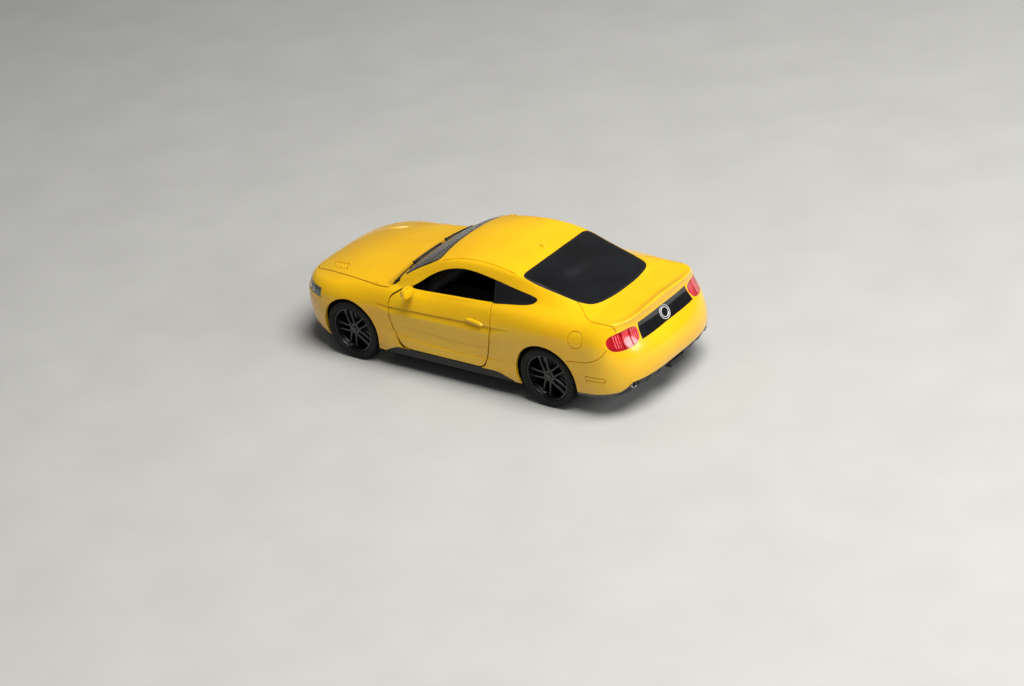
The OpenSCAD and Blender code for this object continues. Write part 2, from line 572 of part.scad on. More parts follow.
// wheels
module axle(front) color("silver")
  along_y(wheel_x(front), -(wheel_mid + 2.6), wheel_mid + 2.6, axle_z, axle_radius);
module front_axle() axle(true);
module rear_axle() axle(false);
module wheel_place(front, side) translate([wheel_x(front), 0, axle_z]) on_side(side)
  translate([0, wheel_mid, 0]) rotate([-90, 0, 0]) children();
rim_barrel = 0.9;
rim_hub = 3;
rim_face = 1.3;
module rim(front, side) color("black") wheel_place(front, side) difference() {
  union() {
    rotate_extrude($fn = 64) polygon([[rim_radius - rim_barrel, -4], [rim_radius, -4], [rim_radius, 4],
      [rim_radius - rim_barrel, 4.4], [rim_radius - rim_barrel - 0.5, 3.6], [rim_radius - rim_barrel, 2]]);
    translate([0, 0, -2.5]) cylinder(h = 5.2, r = rim_hub, $fn = 48);
    for (i = [0:spokes - 1]) rotate([0, 0, 360 * i / spokes])
      translate([rim_hub - 0.6, -0.55, 1.4]) cube([rim_radius - rim_barrel - rim_hub + 0.9, 1.1, rim_face]);
  }
  translate([0, 0, -5]) cylinder(h = 7.6, r = axle_radius, $fn = 48);
}
module rim_front_left() rim(true, 1);
module rim_front_right() rim(true, -1);
module rim_rear_left() rim(false, 1);
module rim_rear_right() rim(false, -1);
module tyre(front, side) color("black") wheel_place(front, side) rotate_extrude($fn = 72) {
  half = tyre_width / 2;
  wall = tyre_radius - rim_radius;
  outer = [[rim_radius + wall / 6, half], [tyre_radius - 0.4 * wall, half], [tyre_radius - wall / 12, half - 0.6],
    [tyre_radius, half - 1.6]];
  polygon(concat([[rim_radius, 4]], outer, [for (i = [3:-1:0]) [outer[i][0], -outer[i][1]]], [[rim_radius, -4]]));
}
module tyre_front_left() tyre(true, 1);
module tyre_front_right() tyre(true, -1);
module tyre_rear_left() tyre(false, 1);
module tyre_rear_right() tyre(false, -1);

// cabin
tub_floor = base_height + base_thick;
furniture_floor = tub_floor + tub_wall + 0.1;
module side_plate(points, y0, y1)
  translate([0, y1, 0]) rotate([90, 0, 0]) linear_extrude(height = y1 - y0) polygon(points);
tub_line = [[27.3, 36], [27.3, 0], [-28, 0], [-42, 29], [-47, 30], [-68, 41.5], [-68, 42.8],
  [-46.4, 31.3], [-41, 30.4], [-27, 1.2], [26.1, 1.2], [26.1, 36]];
tub_rim = 31;
bracket = [19.4, 24.6];
module tub_bracket(side) on_side(side) {
  translate([map_x(door_pin_x) - door_knuckle_radius, tub_half, bracket[0] * tall])
    cube([2 * door_knuckle_radius, door_pin_y - tub_half, (bracket[1] - bracket[0]) * tall]);
  door_upright(bracket[0], bracket[1], door_knuckle_radius);
}
module interior_tub() color(black) difference() {
  union() {
    side_plate([for (p = tub_line) [map_x(p[0]), p[1] > 20 ? p[1] * tall : tub_floor + 0.05 + p[1]]], -tub_half, tub_half);
    both_sides() side_plate([[map_x(27.3), tub_floor + 0.05], [map_x(27.3), tub_rim * tall],
      [map_x(-36), tub_rim * tall], [map_x(-27), tub_floor + 0.05]], tub_half - tub_wall, tub_half);
    for (side = [-1, 1]) tub_bracket(side);
  }
  for (side = [-1, 1]) on_side(side) door_upright(10, 34, door_pin_radius);
  both_sides() translate([rear_axle_x - liner_reach, liner_inner * wide - 0.2, 0])
    cube([2 * liner_reach, 40, 60 * tall]);
}
module dashboard() color(black) side_plate([for (p = [[25.8, 25], [25.8, 36.6], [22, 37.2], [18.6, 35.6], [18, 33],
  [20, 30], [21.5, 25]]) [map_x(p[0]), p[1] * tall]], -26 * wide, 26 * wide);
steering_place = [12.6, 14, 31];
module steering_wheel() color(black) translate(map_point(steering_place)) rotate([0, -68, 0]) {
  rotate_extrude($fn = 48) translate([steering_radius - 0.5, 0]) circle(r = 0.5, $fn = 20);
  cylinder(h = 1, r = 1.4, center = true, $fn = 32);
  for (a = [0, 130, 230]) rotate([0, 0, a]) translate([1, -0.4, -0.3]) cube([steering_radius - 1.6, 0.8, 0.6]);
  translate([0, 0, -5.6]) cylinder(h = 5.6, r = 0.7, $fn = 24);
}
console_half = 3.4;
console_top = 20;
lever_x = 4;
lever_rise = 4;
module center_console() color(black) {
  side_plate([[map_x(19.6), furniture_floor], [map_x(19.6), 26 * tall], [map_x(16), 26 * tall],
    [map_x(10), console_top * tall], [map_x(-14), (console_top + 0.5) * tall], [map_x(-14), furniture_floor]],
    -console_half, console_half);
  translate([map_x(lever_x), 0, console_top * tall - 1]) cylinder(h = lever_rise + 1, r = 0.45, $fn = 24);
  translate([map_x(lever_x), 0, console_top * tall + lever_rise]) sphere(r = 1.1, $fn = 32);
}
// a front seat's side outlines, from the middle of its foot
seat_y = 13.6;
seat_x = -4;
seat_side = [[8, 0], [9, 5], [6.5, 6.6], [-7, 5.2], [-12.6, 24], [-15.4, 24.4], [-13, 8], [-10, 0]];
bolster_side = [[5, 6], [-6, 6.8], [-11.4, 20.5], [-13, 20.5], [-9, 5], [5, 5]];
headrest_side = [[-12.9, 23.6], [-12.4, 28], [-14.6, 29], [-15.4, 28], [-15.2, 23.6]];
bolster_width = 2.6;
headrest_half = 3.6;
module front_seat(side) color(black) on_side(side) translate([map_x(seat_x), seat_y * wide, furniture_floor]) {
  half = seat_width / 2;
  side_plate(seat_side, -half, half);
  for (y = [-half, half - bolster_width]) side_plate(bolster_side, y, y + bolster_width);
  side_plate(headrest_side, -headrest_half, headrest_half);
}
module front_seat_left() front_seat(1);
module front_seat_right() front_seat(-1);
module rear_bench() color(black) {
  z0 = furniture_floor + 0.1;
  half = tub_half - tub_wall - 0.3;
  side_plate([[map_x(-18.5), z0], [map_x(-18.5), z0 + 5.5], [map_x(-27.4), z0 + 5], [map_x(-37.4), 30.6 * tall],
    [map_x(-39.6), 30 * tall], [map_x(-26.6), z0]], -half, half);
}

// engine bay
bay_floor = axle_z + 2.6;
bay_back = 38;
bay_front = 90;
bay_half = 24;
bay_thick = 1;
bay_rise = 8;
bay_legs = [[44, 20], [44, -20], [86, 18], [86, -18]];
bay_leg_radius = 1.6;
module engine_bay() color(black) difference() {
  union() {
    translate([map_x(bay_back), -bay_half * wide, bay_floor])
      cube([map_x(bay_front) - map_x(bay_back), 2 * bay_half * wide, bay_thick]);
    for (y = [-bay_half * wide, bay_half * wide - bay_thick]) translate([map_x(bay_back), y, bay_floor])
      cube([map_x(bay_front) - map_x(bay_back), bay_thick, bay_rise * tall]);
    for (y = hood_pin_spots) {
      translate([map_x(hood_pin[0]) - hood_knuckle_radius, y * wide - hood_post_width / 2, bay_floor])
        cube([2 * hood_knuckle_radius, hood_post_width, hood_pin[1] * tall - bay_floor]);
      hood_crosswise(y, hood_post_width / 2, hood_knuckle_radius);
    }
    for (p = bay_legs) translate([map_x(p[0]), p[1] * wide, tub_floor])
      cylinder(h = bay_floor - tub_floor + 0.5, r = bay_leg_radius, $fn = 24);
  }
  for (y = hood_pin_spots) hood_crosswise(y, 5, hood_pin_radius);
}
engine_back = 58;
engine_front = 78;
engine_half = 7;
engine_height = 8;
bank_size = 7;
bank_lean = 35;
plenum_half = 3.4;
pulley_radius = 3;
module engine_block() color("silver") translate([0, 0, bay_floor + bay_thick]) {
  length = map_x(engine_front) - map_x(engine_back);
  translate([map_x(engine_back), -engine_half, 0]) cube([length, 2 * engine_half, engine_height]);
  for (side = [-1, 1]) on_side(side) translate([map_x(engine_back), 3, engine_height - 2])
    rotate([-bank_lean, 0, 0]) cube([length, bank_size, bank_size]);
  translate([map_x(engine_back + 2), -plenum_half, engine_height - 1])
    cube([length - 4, 2 * plenum_half, engine_height]);
  translate([map_x(engine_front) - 0.5, 0, engine_height / 2]) rotate([0, 90, 0])
    cylinder(h = 2, r = pulley_radius, $fn = 40);
}
radiator_x = 85;
radiator_half = 18;
module radiator() color("silver") translate([map_x(radiator_x), -radiator_half * wide, bay_floor + bay_thick])
  cube([2.4, 2 * radiator_half * wide, 12]);

// lamps and trim
module headlamp(side) color("white") on_side(side) one_mesh() intersection() {
  skin(0.1, cast_wall + 0.1);
  headlamp_zone(-insert_gap);
}
module headlamp_left() headlamp(1);
module headlamp_right() headlamp(-1);
module tail_lamp(side) color("red") on_side(side) one_mesh() intersection() {
  skin(0.1, cast_wall + 0.1);
  tail_lamp_zone(-insert_gap);
}
module tail_lamp_left() tail_lamp(1);
module tail_lamp_right() tail_lamp(-1);
module trim(outline, back, front, depth) color(black) one_mesh() intersection() {
  skin(depth, depth + cast_wall);
  face_zone(outline, back, front, -insert_gap);
}
module front_grille() trim(grille_outline, 84, 104, 0.9);
module lower_grille() trim(intake_outline, 84, 104, 0.9);
module front_splitter() trim(splitter_outline, 74.1, 104, 0);
module tail_panel() trim(tail_panel_outline, -104, -86.1, 0.2);
module rear_diffuser() color(black) difference() {
  trim(diffuser_outline, -104, -80.1, 0.3);
  both_sides() exhaust_hole();
}
exhaust_place = [-93.6, 28, 15.2];
exhaust_radius = 1.7;
exhaust_length = 8;
module exhaust_hole() translate([map_x(exhaust_place[0]) - 2, exhaust_place[1] * wide, exhaust_place[2] * tall])
  rotate([0, 90, 0]) cylinder(h = 20, r = exhaust_radius + 0.15, $fn = 48);
module exhaust_tip(side) color("silver") on_side(side)
  translate([map_x(exhaust_place[0]), exhaust_place[1] * wide, exhaust_place[2] * tall]) rotate([0, 90, 0]) difference() {
    cylinder(h = exhaust_length, r = exhaust_radius, $fn = 48);
    translate([0, 0, -1]) cylinder(h = 7, r = exhaust_radius - 0.35, $fn = 48);
  }
module exhaust_tip_left() exhaust_tip(1);
module exhaust_tip_right() exhaust_tip(-1);
badge_place = [-94.6, 0, 37.1];
badge_radius = 3.2;
badge_tilt = 24;
module tail_badge() color("silver") translate(map_point(badge_place)) rotate([0, -90 + badge_tilt, 0])
  rotate_extrude($fn = 64) translate([badge_radius - 0.45, 0]) square([0.6, 0.6]);

body_shell();
hood();
hood_hinge_pin_left();
hood_hinge_pin_right();
door_left();
door_right();
door_card_left();
door_card_right();
door_hinge_pin_left();
door_hinge_pin_right();
mirror_left();
mirror_right();
mirror_glass_left();
mirror_glass_right();
windscreen();
rear_window();
quarter_window_left();
quarter_window_right();
cowl_panel();
wiper_left();
wiper_right();
base_plate();
base_screws();
wheel_liner_front_left();
wheel_liner_front_right();
wheel_liner_rear_left();
wheel_liner_rear_right();
interior_tub();
dashboard();
steering_wheel();
center_console();
front_seat_left();
front_seat_right();
rear_bench();
engine_bay();
engine_block();
radiator();
front_axle();
rear_axle();
rim_front_left();
rim_front_right();
rim_rear_left();
rim_rear_right();
tyre_front_left();
tyre_front_right();
tyre_rear_left();
tyre_rear_right();
headlamp_left();
headlamp_right();
front_grille();
lower_grille();
front_splitter();
tail_lamp_left();
tail_lamp_right();
tail_panel();
tail_badge();
rear_diffuser();
exhaust_tip_left();
exhaust_tip_right();
antenna_nub();
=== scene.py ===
import math
import bmesh
import bpy
import numpy as np
from mathutils import Matrix, Vector
from mathutils.bvhtree import BVHTree
from mathutils.interpolate import poly_3d_calc


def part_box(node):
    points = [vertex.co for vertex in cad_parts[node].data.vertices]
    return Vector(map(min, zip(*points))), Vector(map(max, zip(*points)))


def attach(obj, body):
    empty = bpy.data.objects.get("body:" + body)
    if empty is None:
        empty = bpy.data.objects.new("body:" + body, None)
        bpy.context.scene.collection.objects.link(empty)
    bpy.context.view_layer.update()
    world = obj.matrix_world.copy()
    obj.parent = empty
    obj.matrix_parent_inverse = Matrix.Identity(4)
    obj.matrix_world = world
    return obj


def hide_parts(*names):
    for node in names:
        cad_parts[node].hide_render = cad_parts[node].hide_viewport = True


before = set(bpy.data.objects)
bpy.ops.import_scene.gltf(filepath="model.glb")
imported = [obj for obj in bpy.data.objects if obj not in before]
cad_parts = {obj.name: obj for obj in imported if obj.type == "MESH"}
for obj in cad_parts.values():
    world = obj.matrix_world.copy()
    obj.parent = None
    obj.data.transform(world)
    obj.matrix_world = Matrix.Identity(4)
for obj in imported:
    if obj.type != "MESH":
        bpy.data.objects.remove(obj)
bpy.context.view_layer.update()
mm = 0.001

# small tools


def hexColor(text):
    # sRGB hex to the linear numbers that shaders use
    parts = [int(text[i:i + 2], 16) / 255 for i in (0, 2, 4)]
    return [c / 12.92 if c < 0.04045 else ((c + 0.055) / 1.055) ** 2.4 for c in parts] + [1]


def ease(t):
    c = np.clip(t, 0, 1)
    return c * c * (3 - 2 * c)


def curve(points, place):
    # smooth curve through a few [place, value] points
    p = np.asarray(points, float)
    p = p[np.argsort(p[:, 0])]
    xs = p[:, 0]
    ys = p[:, 1]
    slopes = np.empty(len(xs))
    slopes[1:-1] = (ys[2:] - ys[:-2]) / (xs[2:] - xs[:-2])
    slopes[0] = (ys[1] - ys[0]) / (xs[1] - xs[0])
    slopes[-1] = (ys[-1] - ys[-2]) / (xs[-1] - xs[-2])
    x = np.clip(place, xs[0], xs[-1])
    i = np.clip(np.searchsorted(xs, x) - 1, 0, len(xs) - 2)
    h = xs[i + 1] - xs[i]
    t = (x - xs[i]) / h
    rise = (2 * t ** 3 - 3 * t ** 2 + 1) * ys[i] + (t ** 3 - 2 * t ** 2 + t) * h * slopes[i]
    return rise + (-2 * t ** 3 + 3 * t ** 2) * ys[i + 1] + (t ** 3 - t ** 2) * h * slopes[i + 1]


def soften(points, times):
    # corner cutting rounds a closed outline
    p = np.asarray(points, float)
    for _ in range(times):
        q = np.roll(p, -1, axis=0)
        p = np.stack([p * 0.75 + q * 0.25, p * 0.25 + q * 0.75], axis=1).reshape(-1, p.shape[1])
    return p


def roundCorners(points, radius, steps=5):
    p = np.asarray(points, float)
    out = []
    for i in range(len(p)):
        a = p[i - 1]
        b = p[i]
        c = p[(i + 1) % len(p)]
        back = min(radius, 0.45 * np.linalg.norm(a - b))
        ahead = min(radius, 0.45 * np.linalg.norm(c - b))
        start = b + (a - b) / np.linalg.norm(a - b) * back
        end = b + (c - b) / np.linalg.norm(c - b) * ahead
        for k in range(steps + 1):
            t = k / steps
            out.append((1 - t) ** 2 * start + 2 * t * (1 - t) * b + t * t * end)
    return np.array(out)


def grown(points, gap):
    # an outline moved outward by gap
    p = np.asarray(points, float)
    area = np.sum(p[:, 0] * np.roll(p[:, 1], -1) - np.roll(p[:, 0], -1) * p[:, 1])
    ahead = np.roll(p, -1, axis=0) - p
    ahead = ahead / np.maximum(np.linalg.norm(ahead, axis=1, keepdims=True), 1e-9)
    turned = np.stack([ahead[:, 1], -ahead[:, 0]], axis=1) * np.sign(area)
    mixed = turned + np.roll(turned, 1, axis=0)
    mixed = mixed / np.maximum(np.linalg.norm(mixed, axis=1, keepdims=True), 1e-9)
    lean = np.maximum(np.sum(mixed * turned, axis=1, keepdims=True), 0.5)
    return p + mixed * gap / lean


def smoothPath(points, count, closed=False):
    # evenly spaced points on a smooth curve through a few points
    p = np.asarray(points, float)
    if closed:
        ends = np.vstack([p[-1], p, p[0], p[1]])
    else:
        ends = np.vstack([2 * p[0] - p[1], p, 2 * p[-1] - p[-2]])
    fine = []
    for i in range(1, len(ends) - 2):
        for t in np.linspace(0, 1, 24, endpoint=False):
            a, b, c, d = ends[i - 1], ends[i], ends[i + 1], ends[i + 2]
            fine.append(0.5 * (2 * b + (c - a) * t + (2 * a - 5 * b + 4 * c - d) * t ** 2
                               + (3 * b - a - 3 * c + d) * t ** 3))
    fine.append(ends[-2])
    fine = np.array(fine)
    length = np.concatenate([[0], np.cumsum(np.linalg.norm(np.diff(fine, axis=0), axis=1))])
    spots = np.linspace(0, length[-1], count, endpoint=not closed)
    return np.stack([np.interp(spots, length, fine[:, k]) for k in range(fine.shape[1])], axis=1)


def makeMesh(points, faces):
    mesh = bpy.data.meshes.new("mesh")
    mesh.from_pydata([tuple(p) for p in np.asarray(points, float)], [], [tuple(f) for f in faces])
    mesh.update()
    return mesh


def mirrored(mesh):
    out = mesh.copy()
    spots = np.empty(len(out.vertices) * 3)
    out.vertices.foreach_get("co", spots)
    spots = spots.reshape(-1, 3) * [1, -1, 1]
    out.vertices.foreach_set("co", spots.ravel())
    out.flip_normals()
    out.update()
    return out


def moved(mesh, shift=(0, 0, 0), turn=None):
    out = mesh.copy()
    spots = np.empty(len(out.vertices) * 3)
    out.vertices.foreach_get("co", spots)
    spots = spots.reshape(-1, 3)
    if turn is not None:
        spots = spots @ np.asarray(turn, float).T
    out.vertices.foreach_set("co", (spots + np.asarray(shift, float)).ravel())
    out.update()
    return out


def turnAbout(axis, degrees):
    a = math.radians(degrees)
    c = math.cos(a)
    s = math.sin(a)
    if axis == "x":
        return [[1, 0, 0], [0, c, -s], [0, s, c]]
    if axis == "y":
        return [[c, 0, s], [0, 1, 0], [-s, 0, c]]
    return [[c, -s, 0], [s, c, 0], [0, 0, 1]]


def facing(normal):
    # the turn that points a mesh's x axis along a normal
    heading = math.degrees(math.atan2(normal[1], normal[0]))
    lift = math.degrees(math.asin(normal[2]))
    return np.array(turnAbout("z", heading)) @ np.array(turnAbout("y", -lift))


def joined(meshes, indices=None):
    # several meshes as one, each with its own material number
    build = bmesh.new()
    for i, mesh in enumerate(meshes):
        start = len(build.faces)
        build.from_mesh(mesh)
        build.faces.ensure_lookup_table()
        if indices is not None:
            for face in build.faces[start:]:
                face.material_index = indices[i]
    out = bpy.data.meshes.new("mesh")
    build.to_mesh(out)
    build.free()
    return out


def combine(mesh, other, kind):
    # DIFFERENCE, INTERSECT or UNION of two closed meshes
    a = bpy.data.objects.new("cutA", mesh)
    b = bpy.data.objects.new("cutB", other)
    for o in (a, b):
        bpy.context.scene.collection.objects.link(o)
    modifier = a.modifiers.new("cut", "BOOLEAN")
    modifier.operation = kind
    modifier.object = b
    modifier.solver = "MANIFOLD"
    graph = bpy.context.evaluated_depsgraph_get()
    out = bpy.data.meshes.new_from_object(a.evaluated_get(graph), depsgraph=graph)
    for o in (a, b):
        bpy.data.objects.remove(o)
    return out


def minus(mesh, *others):
    for other in others:
        mesh = combine(mesh, other, "DIFFERENCE")
    return mesh


def common(mesh, *others):
    for other in others:
        mesh = combine(mesh, other, "INTERSECT")
    return mesh


def prism(outline, plane, low, high):
    # plane "side" takes x, z; "plan" takes x, y; "face" takes y, z
    p = np.asarray(outline, float)
    n = len(p)
    if plane == "side":
        ends = [np.stack([p[:, 0], np.full(n, v), p[:, 1]], axis=1) for v in (low, high)]
    elif plane == "plan":
        ends = [np.stack([p[:, 0], p[:, 1], np.full(n, v)], axis=1) for v in (low, high)]
    else:
        ends = [np.stack([np.full(n, v), p[:, 0], p[:, 1]], axis=1) for v in (low, high)]
    faces = [[i, (i + 1) % n, n + (i + 1) % n, n + i] for i in range(n)]
    faces += [list(range(n))[::-1], list(range(n, 2 * n))]
    mesh = makeMesh(np.vstack(ends), faces)
    area = np.sum(p[:, 0] * np.roll(p[:, 1], -1) - np.roll(p[:, 0], -1) * p[:, 1])
    if (area < 0) != (plane == "side"):
        mesh.flip_normals()
    return mesh


def roundedBox(low, high, radius, segments=3):
    low = np.asarray(low, float)
    high = np.asarray(high, float)
    build = bmesh.new()
    bmesh.ops.create_cube(build, size=1)
    for v in build.verts:
        v.co = Vector(low + (np.array(v.co) + 0.5) * (high - low))
    bmesh.ops.bevel(build, geom=build.edges[:], offset=min(radius, 0.49 * (high - low).min()),
                    segments=segments,
                    profile=0.5, affect="EDGES")
    mesh = bpy.data.meshes.new("mesh")
    build.to_mesh(mesh)
    build.free()
    return mesh


def lathe(profile, segments, axis="y", shift=(0, 0, 0), closed=True):
    # profile points are [radius, place along the axis]; a closed profile makes a ring
    rings = []
    for i in range(segments):
        a = 2 * math.pi * i / segments
        rings.append([[r * math.cos(a), h, r * math.sin(a)] for r, h in profile])
    n = len(profile)
    points = np.array(rings).reshape(-1, 3)
    faces = []
    for i in range(segments):
        j = (i + 1) % segments
        for k in range(n if closed else n - 1):
            m = (k + 1) % n
            faces.append([i * n + k, i * n + m, j * n + m, j * n + k])
    if not closed:
        faces.append([i * n for i in range(segments)])
        faces.append([i * n + n - 1 for i in range(segments)][::-1])
    if axis == "x":
        points = points[:, [1, 2, 0]]
    if axis == "z":
        points = points[:, [2, 0, 1]]
    mesh = makeMesh(points + np.asarray(shift, float), faces)
    build = bmesh.new()
    build.from_mesh(mesh)
    bmesh.ops.remove_doubles(build, verts=build.verts, dist=1e-5)
    bmesh.ops.recalc_face_normals(build, faces=build.faces)
    build.to_mesh(mesh)
    build.free()
    return mesh


def rod(radius, low, high, segments, axis, shift):
    profile = [[0, low], [radius, low], [radius, high], [0, high]]
    return lathe(profile, segments, axis, shift, False)


def loft(sections, loop=False):
    # rings of equal counts joined one to the next
    n = len(sections[0])
    count = len(sections)
    faces = []
    for i in range(count if loop else count - 1):
        j = (i + 1) % count
        for k in range(n):
            m = (k + 1) % n
            faces.append([i * n + k, i * n + m, j * n + m, j * n + k])
    if not loop:
        faces.append(list(range(n))[::-1])
        faces.append([(count - 1) * n + k for k in range(n)])
    mesh = makeMesh(np.vstack(sections), faces)
    build = bmesh.new()
    build.from_mesh(mesh)
    bmesh.ops.recalc_face_normals(build, faces=build.faces)
    build.to_mesh(mesh)
    build.free()
    return mesh


def sweep(path, normals, profile, closed=False, scales=None):
    # profile points are [sideways, outward] about a path that lies on a surface
    path = np.asarray(path, float)
    normals = np.asarray(normals, float)
    if closed:
        tangent = np.roll(path, -1, axis=0) - np.roll(path, 1, axis=0)
    else:
        tangent = np.gradient(path, axis=0)
    tangent /= np.linalg.norm(tangent, axis=1, keepdims=True)
    side = np.cross(tangent, normals)
    side /= np.linalg.norm(side, axis=1, keepdims=True)
    up = np.cross(side, tangent)
    scales = np.ones(len(path)) if scales is None else scales
    sections = []
    for i in range(len(path)):
        sections.append([path[i] + side[i] * u * scales[i] + up[i] * v * scales[i] for u, v in profile])
    return loft(sections, closed)


# the body surface: one set of lines gives every painted panel

# belts run round the car from the sill up: nose x, nose z, squareness, tail x, tail z, squareness,
# half width by x, height by x
body = {
    "belts": [
        [96.5, 7.5, 2.6, -93.5, 12.5, 3, [[-74, 37.4], [-20, 38.2], [20, 38.2], [62, 37.6]],
         [[-74, 9.5], [-50, 8], [62, 8]]],
        [98.8, 11, 2.7, -97.9, 15, 3, [[-74, 38.8], [-20, 39.3], [20, 39.3], [62, 38.9]],
         [[-74, 13], [-50, 11.5], [62, 11.5]]],
        [99.65, 18, 2.8, -99.8, 20.5, 2.9,
         [[-74, 39.2], [-53, 39.6], [-25, 38.6], [0, 38.4], [30, 38.7], [62, 39.4]],
         [[-74, 19], [-20, 17], [20, 17], [62, 18]]],
        [99.4, 24, 2.8, -99.6, 26.5, 2.9,
         [[-74, 39], [-53, 39.9], [-25, 38.3], [0, 37.9], [30, 38.2], [62, 39.5]],
         [[-74, 26], [-20, 24.5], [20, 24], [62, 25]]],
        [98.6, 28, 2.8, -97.2, 31.5, 2.9,
         [[-74, 38.5], [-53, 39.8], [-25, 38.8], [0, 38.6], [30, 38.7], [62, 38.9]],
         [[-74, 33], [-53, 33], [-25, 29.2], [0, 28.8], [30, 29.5], [62, 30]]],
        [97.5, 30.5, 2.8, -93.6, 36, 3.2,
         [[-74, 37.2], [-53, 38.8], [-25, 37.4], [0, 37.2], [30, 37.3], [62, 37.4]],
         [[-74, 38.5], [-53, 38.5], [-25, 35.6], [0, 34.6], [30, 34.2], [62, 33.6]]],
        [96.3, 32, 2.8, -92, 41, 4,
         [[-74, 34.2], [-60, 35.4], [-45, 35.6], [-25, 34.8], [0, 34.6], [36, 34.8], [62, 34.6]],
         [[-74, 42.6], [-60, 43.4], [-45, 43.2], [-20, 41.4], [0, 39.8], [36, 38.9], [62, 36.9]]],
    ],
    "topBelt": [94, 2.9, -93.6, 5,
                [[-74, 31.2], [-60, 30], [-42, 30.5], [-20, 32.6], [0, 33], [20, 32.8], [36, 31.6],
                 [62, 31.5]],
                [[-74, 44.6], [-60, 45], [-42, 44.9], [-20, 42], [0, 40.9], [20, 40.2], [36, 40.2],
                 [62, 38.2]]],
    "hoodLine": [[20, 43], [30, 42.8], [40, 42.5], [50, 42], [60, 41.2], [70, 40], [80, 38.2], [90, 35.6],
                 [96, 33], [99.65, 30]],
    "roofLine": [[-74, 46.2], [-66, 48.2], [-56, 51], [-44, 54.6], [-32, 57.2], [-20, 58.3], [-8, 58.5],
                 [2, 58], [11, 56.4], [20, 52.6], [30, 47.3], [39, 41.8], [44, 36.5]],
    "railHalf": [[-74, 21.5], [-66, 22.8], [-50, 24.4], [-35, 25.6], [-15, 25.4], [-2, 25.2], [11, 25.6],
                 [24, 28], [36, 31], [44, 32]],
    "railHeight": [[-74, 45.6], [-66, 47.3], [-50, 51.6], [-35, 55.9], [-20, 57.6], [-10, 57.4], [0, 56.4],
                   [11, 54.2], [24, 48.4], [36, 41.4], [44, 37.6]],
    "deckLine": [[-95, 44.4], [-86, 44.9], [-80, 45.4], [-74, 46.2], [-66, 48.2]],
    "screenBow": [[-74, 0], [0, 0], [12, 1.5], [38, 1], [50, 0.5], [62, 0]],
    "noseCentre": 62,
    "tailCentre": -74,
    "cowl": 44,
    "screen": 20,
    "lipHeight": 1.5,
    "lipWidth": 5,
    "wall": 1.3,
}
rowSteps = [0.92, 0.75, 0.5, 0.25, 0]
railSteps = [0.35, 0.72, 1]


def hoodHeight(x, y):
    return curve(body["hoodLine"], x) - 3.4 * (abs(y) / 34) ** 2.4


def deckHeight(x, y):
    return curve(body["deckLine"], x) - 1.6 * (abs(y) / 29.8) ** 2.2


def reach(turn, a, b, n):
    return (abs(math.cos(turn) / a) ** n + abs(math.sin(turn) / b) ** n) ** (-1 / n)


def midRib(x):
    points = [[x, curve(b[6], x), curve(b[7], x)] for b in body["belts"]]
    y0 = curve(body["topBelt"][4], x)
    z0 = curve(body["topBelt"][5], x)
    railX = min(x, body["cowl"])
    k = ease((x - body["cowl"]) / (body["noseCentre"] - body["cowl"])) if x > body["cowl"] else 0
    yr = curve(body["railHalf"], railX) * (1 - k) + 22 * k
    zr = curve(body["railHeight"], railX)
    zc = curve(body["roofLine"], railX)
    flat = [[y0, z0]] + [[y0 + (yr - y0) * t, z0 + (zr - z0) * t] for t in railSteps]
    flat += [[yr * t, zc - (zc - zr) * t ** 2.4] for t in rowSteps]
    for y, z in flat:
        bowed = x + curve(body["screenBow"], x) * (1 - min(1, (y / y0) ** 2))
        h = hoodHeight(bowed, y)
        points.append([bowed, y, h if x > body["cowl"] else max(z, h) if x > body["screen"] else z])
    return np.array(points, float)


def fanRib(degrees, front):
    turn = math.radians(degrees)
    x0 = body["noseCentre"] if front else body["tailCentre"]
    way = 1 if front else -1
    w = ease(degrees / 90)
    side = midRib(x0)
    top = body["topBelt"]
    points = []
    for b in body["belts"]:
        tip = b[0 if front else 3]
        r = reach(turn, abs(tip - x0), curve(b[6], x0), b[2 if front else 5])
        points.append([x0 + way * r * math.cos(turn), r * math.sin(turn),
                       b[1 if front else 4] * (1 - w) + curve(b[7], x0) * w])
    sideY = curve(top[4], x0)
    r0 = reach(turn, abs(top[0 if front else 2] - x0), sideY, top[1 if front else 3])
    for p in side[len(body["belts"]):]:
        r = r0 * p[1] / sideY
        x = x0 + way * r * math.cos(turn)
        y = r * math.sin(turn)
        lip = body["lipHeight"] * (1 - ease((r0 - r) / body["lipWidth"])) * ease((92 - degrees) / 25)
        points.append([x, y, hoodHeight(x, y) if front else deckHeight(x, y) + lip])
    return np.array(points, float)


def splineRow(points, times):
    # smooths one rib and adds points between its rows
    flip = np.array([1, -1, 1])
    q = np.vstack([2 * points[0] - points[1], points, points[-2] * flip])
    out = []
    for i in range(1, len(points)):
        a, b, c, d = q[i - 1], q[i], q[i + 1], q[i + 2]
        for k in range(times):
            t = k / times
            out.append(((1 - t) ** 3 * a + (3 * t ** 3 - 6 * t ** 2 + 4) * b
                        + (-3 * t ** 3 + 3 * t ** 2 + 3 * t + 1) * c + t ** 3 * d) / 6)
    out.append((q[-3] + 4 * q[-2] + q[-1]) / 6)
    return np.array(out)


def makeGrid(nose, mid, tail, times):
    ribs = [splineRow(fanRib(90 * i / nose, True), times) for i in range(nose)]
    span = body["tailCentre"] - body["noseCentre"]
    ribs += [splineRow(midRib(body["noseCentre"] + span * i / mid), times) for i in range(mid + 1)]
    ribs += [splineRow(fanRib(90 - 90 * i / tail, False), times) for i in range(1, tail + 1)]
    return {"ribs": np.array(ribs), "nose": nose, "tail": tail}


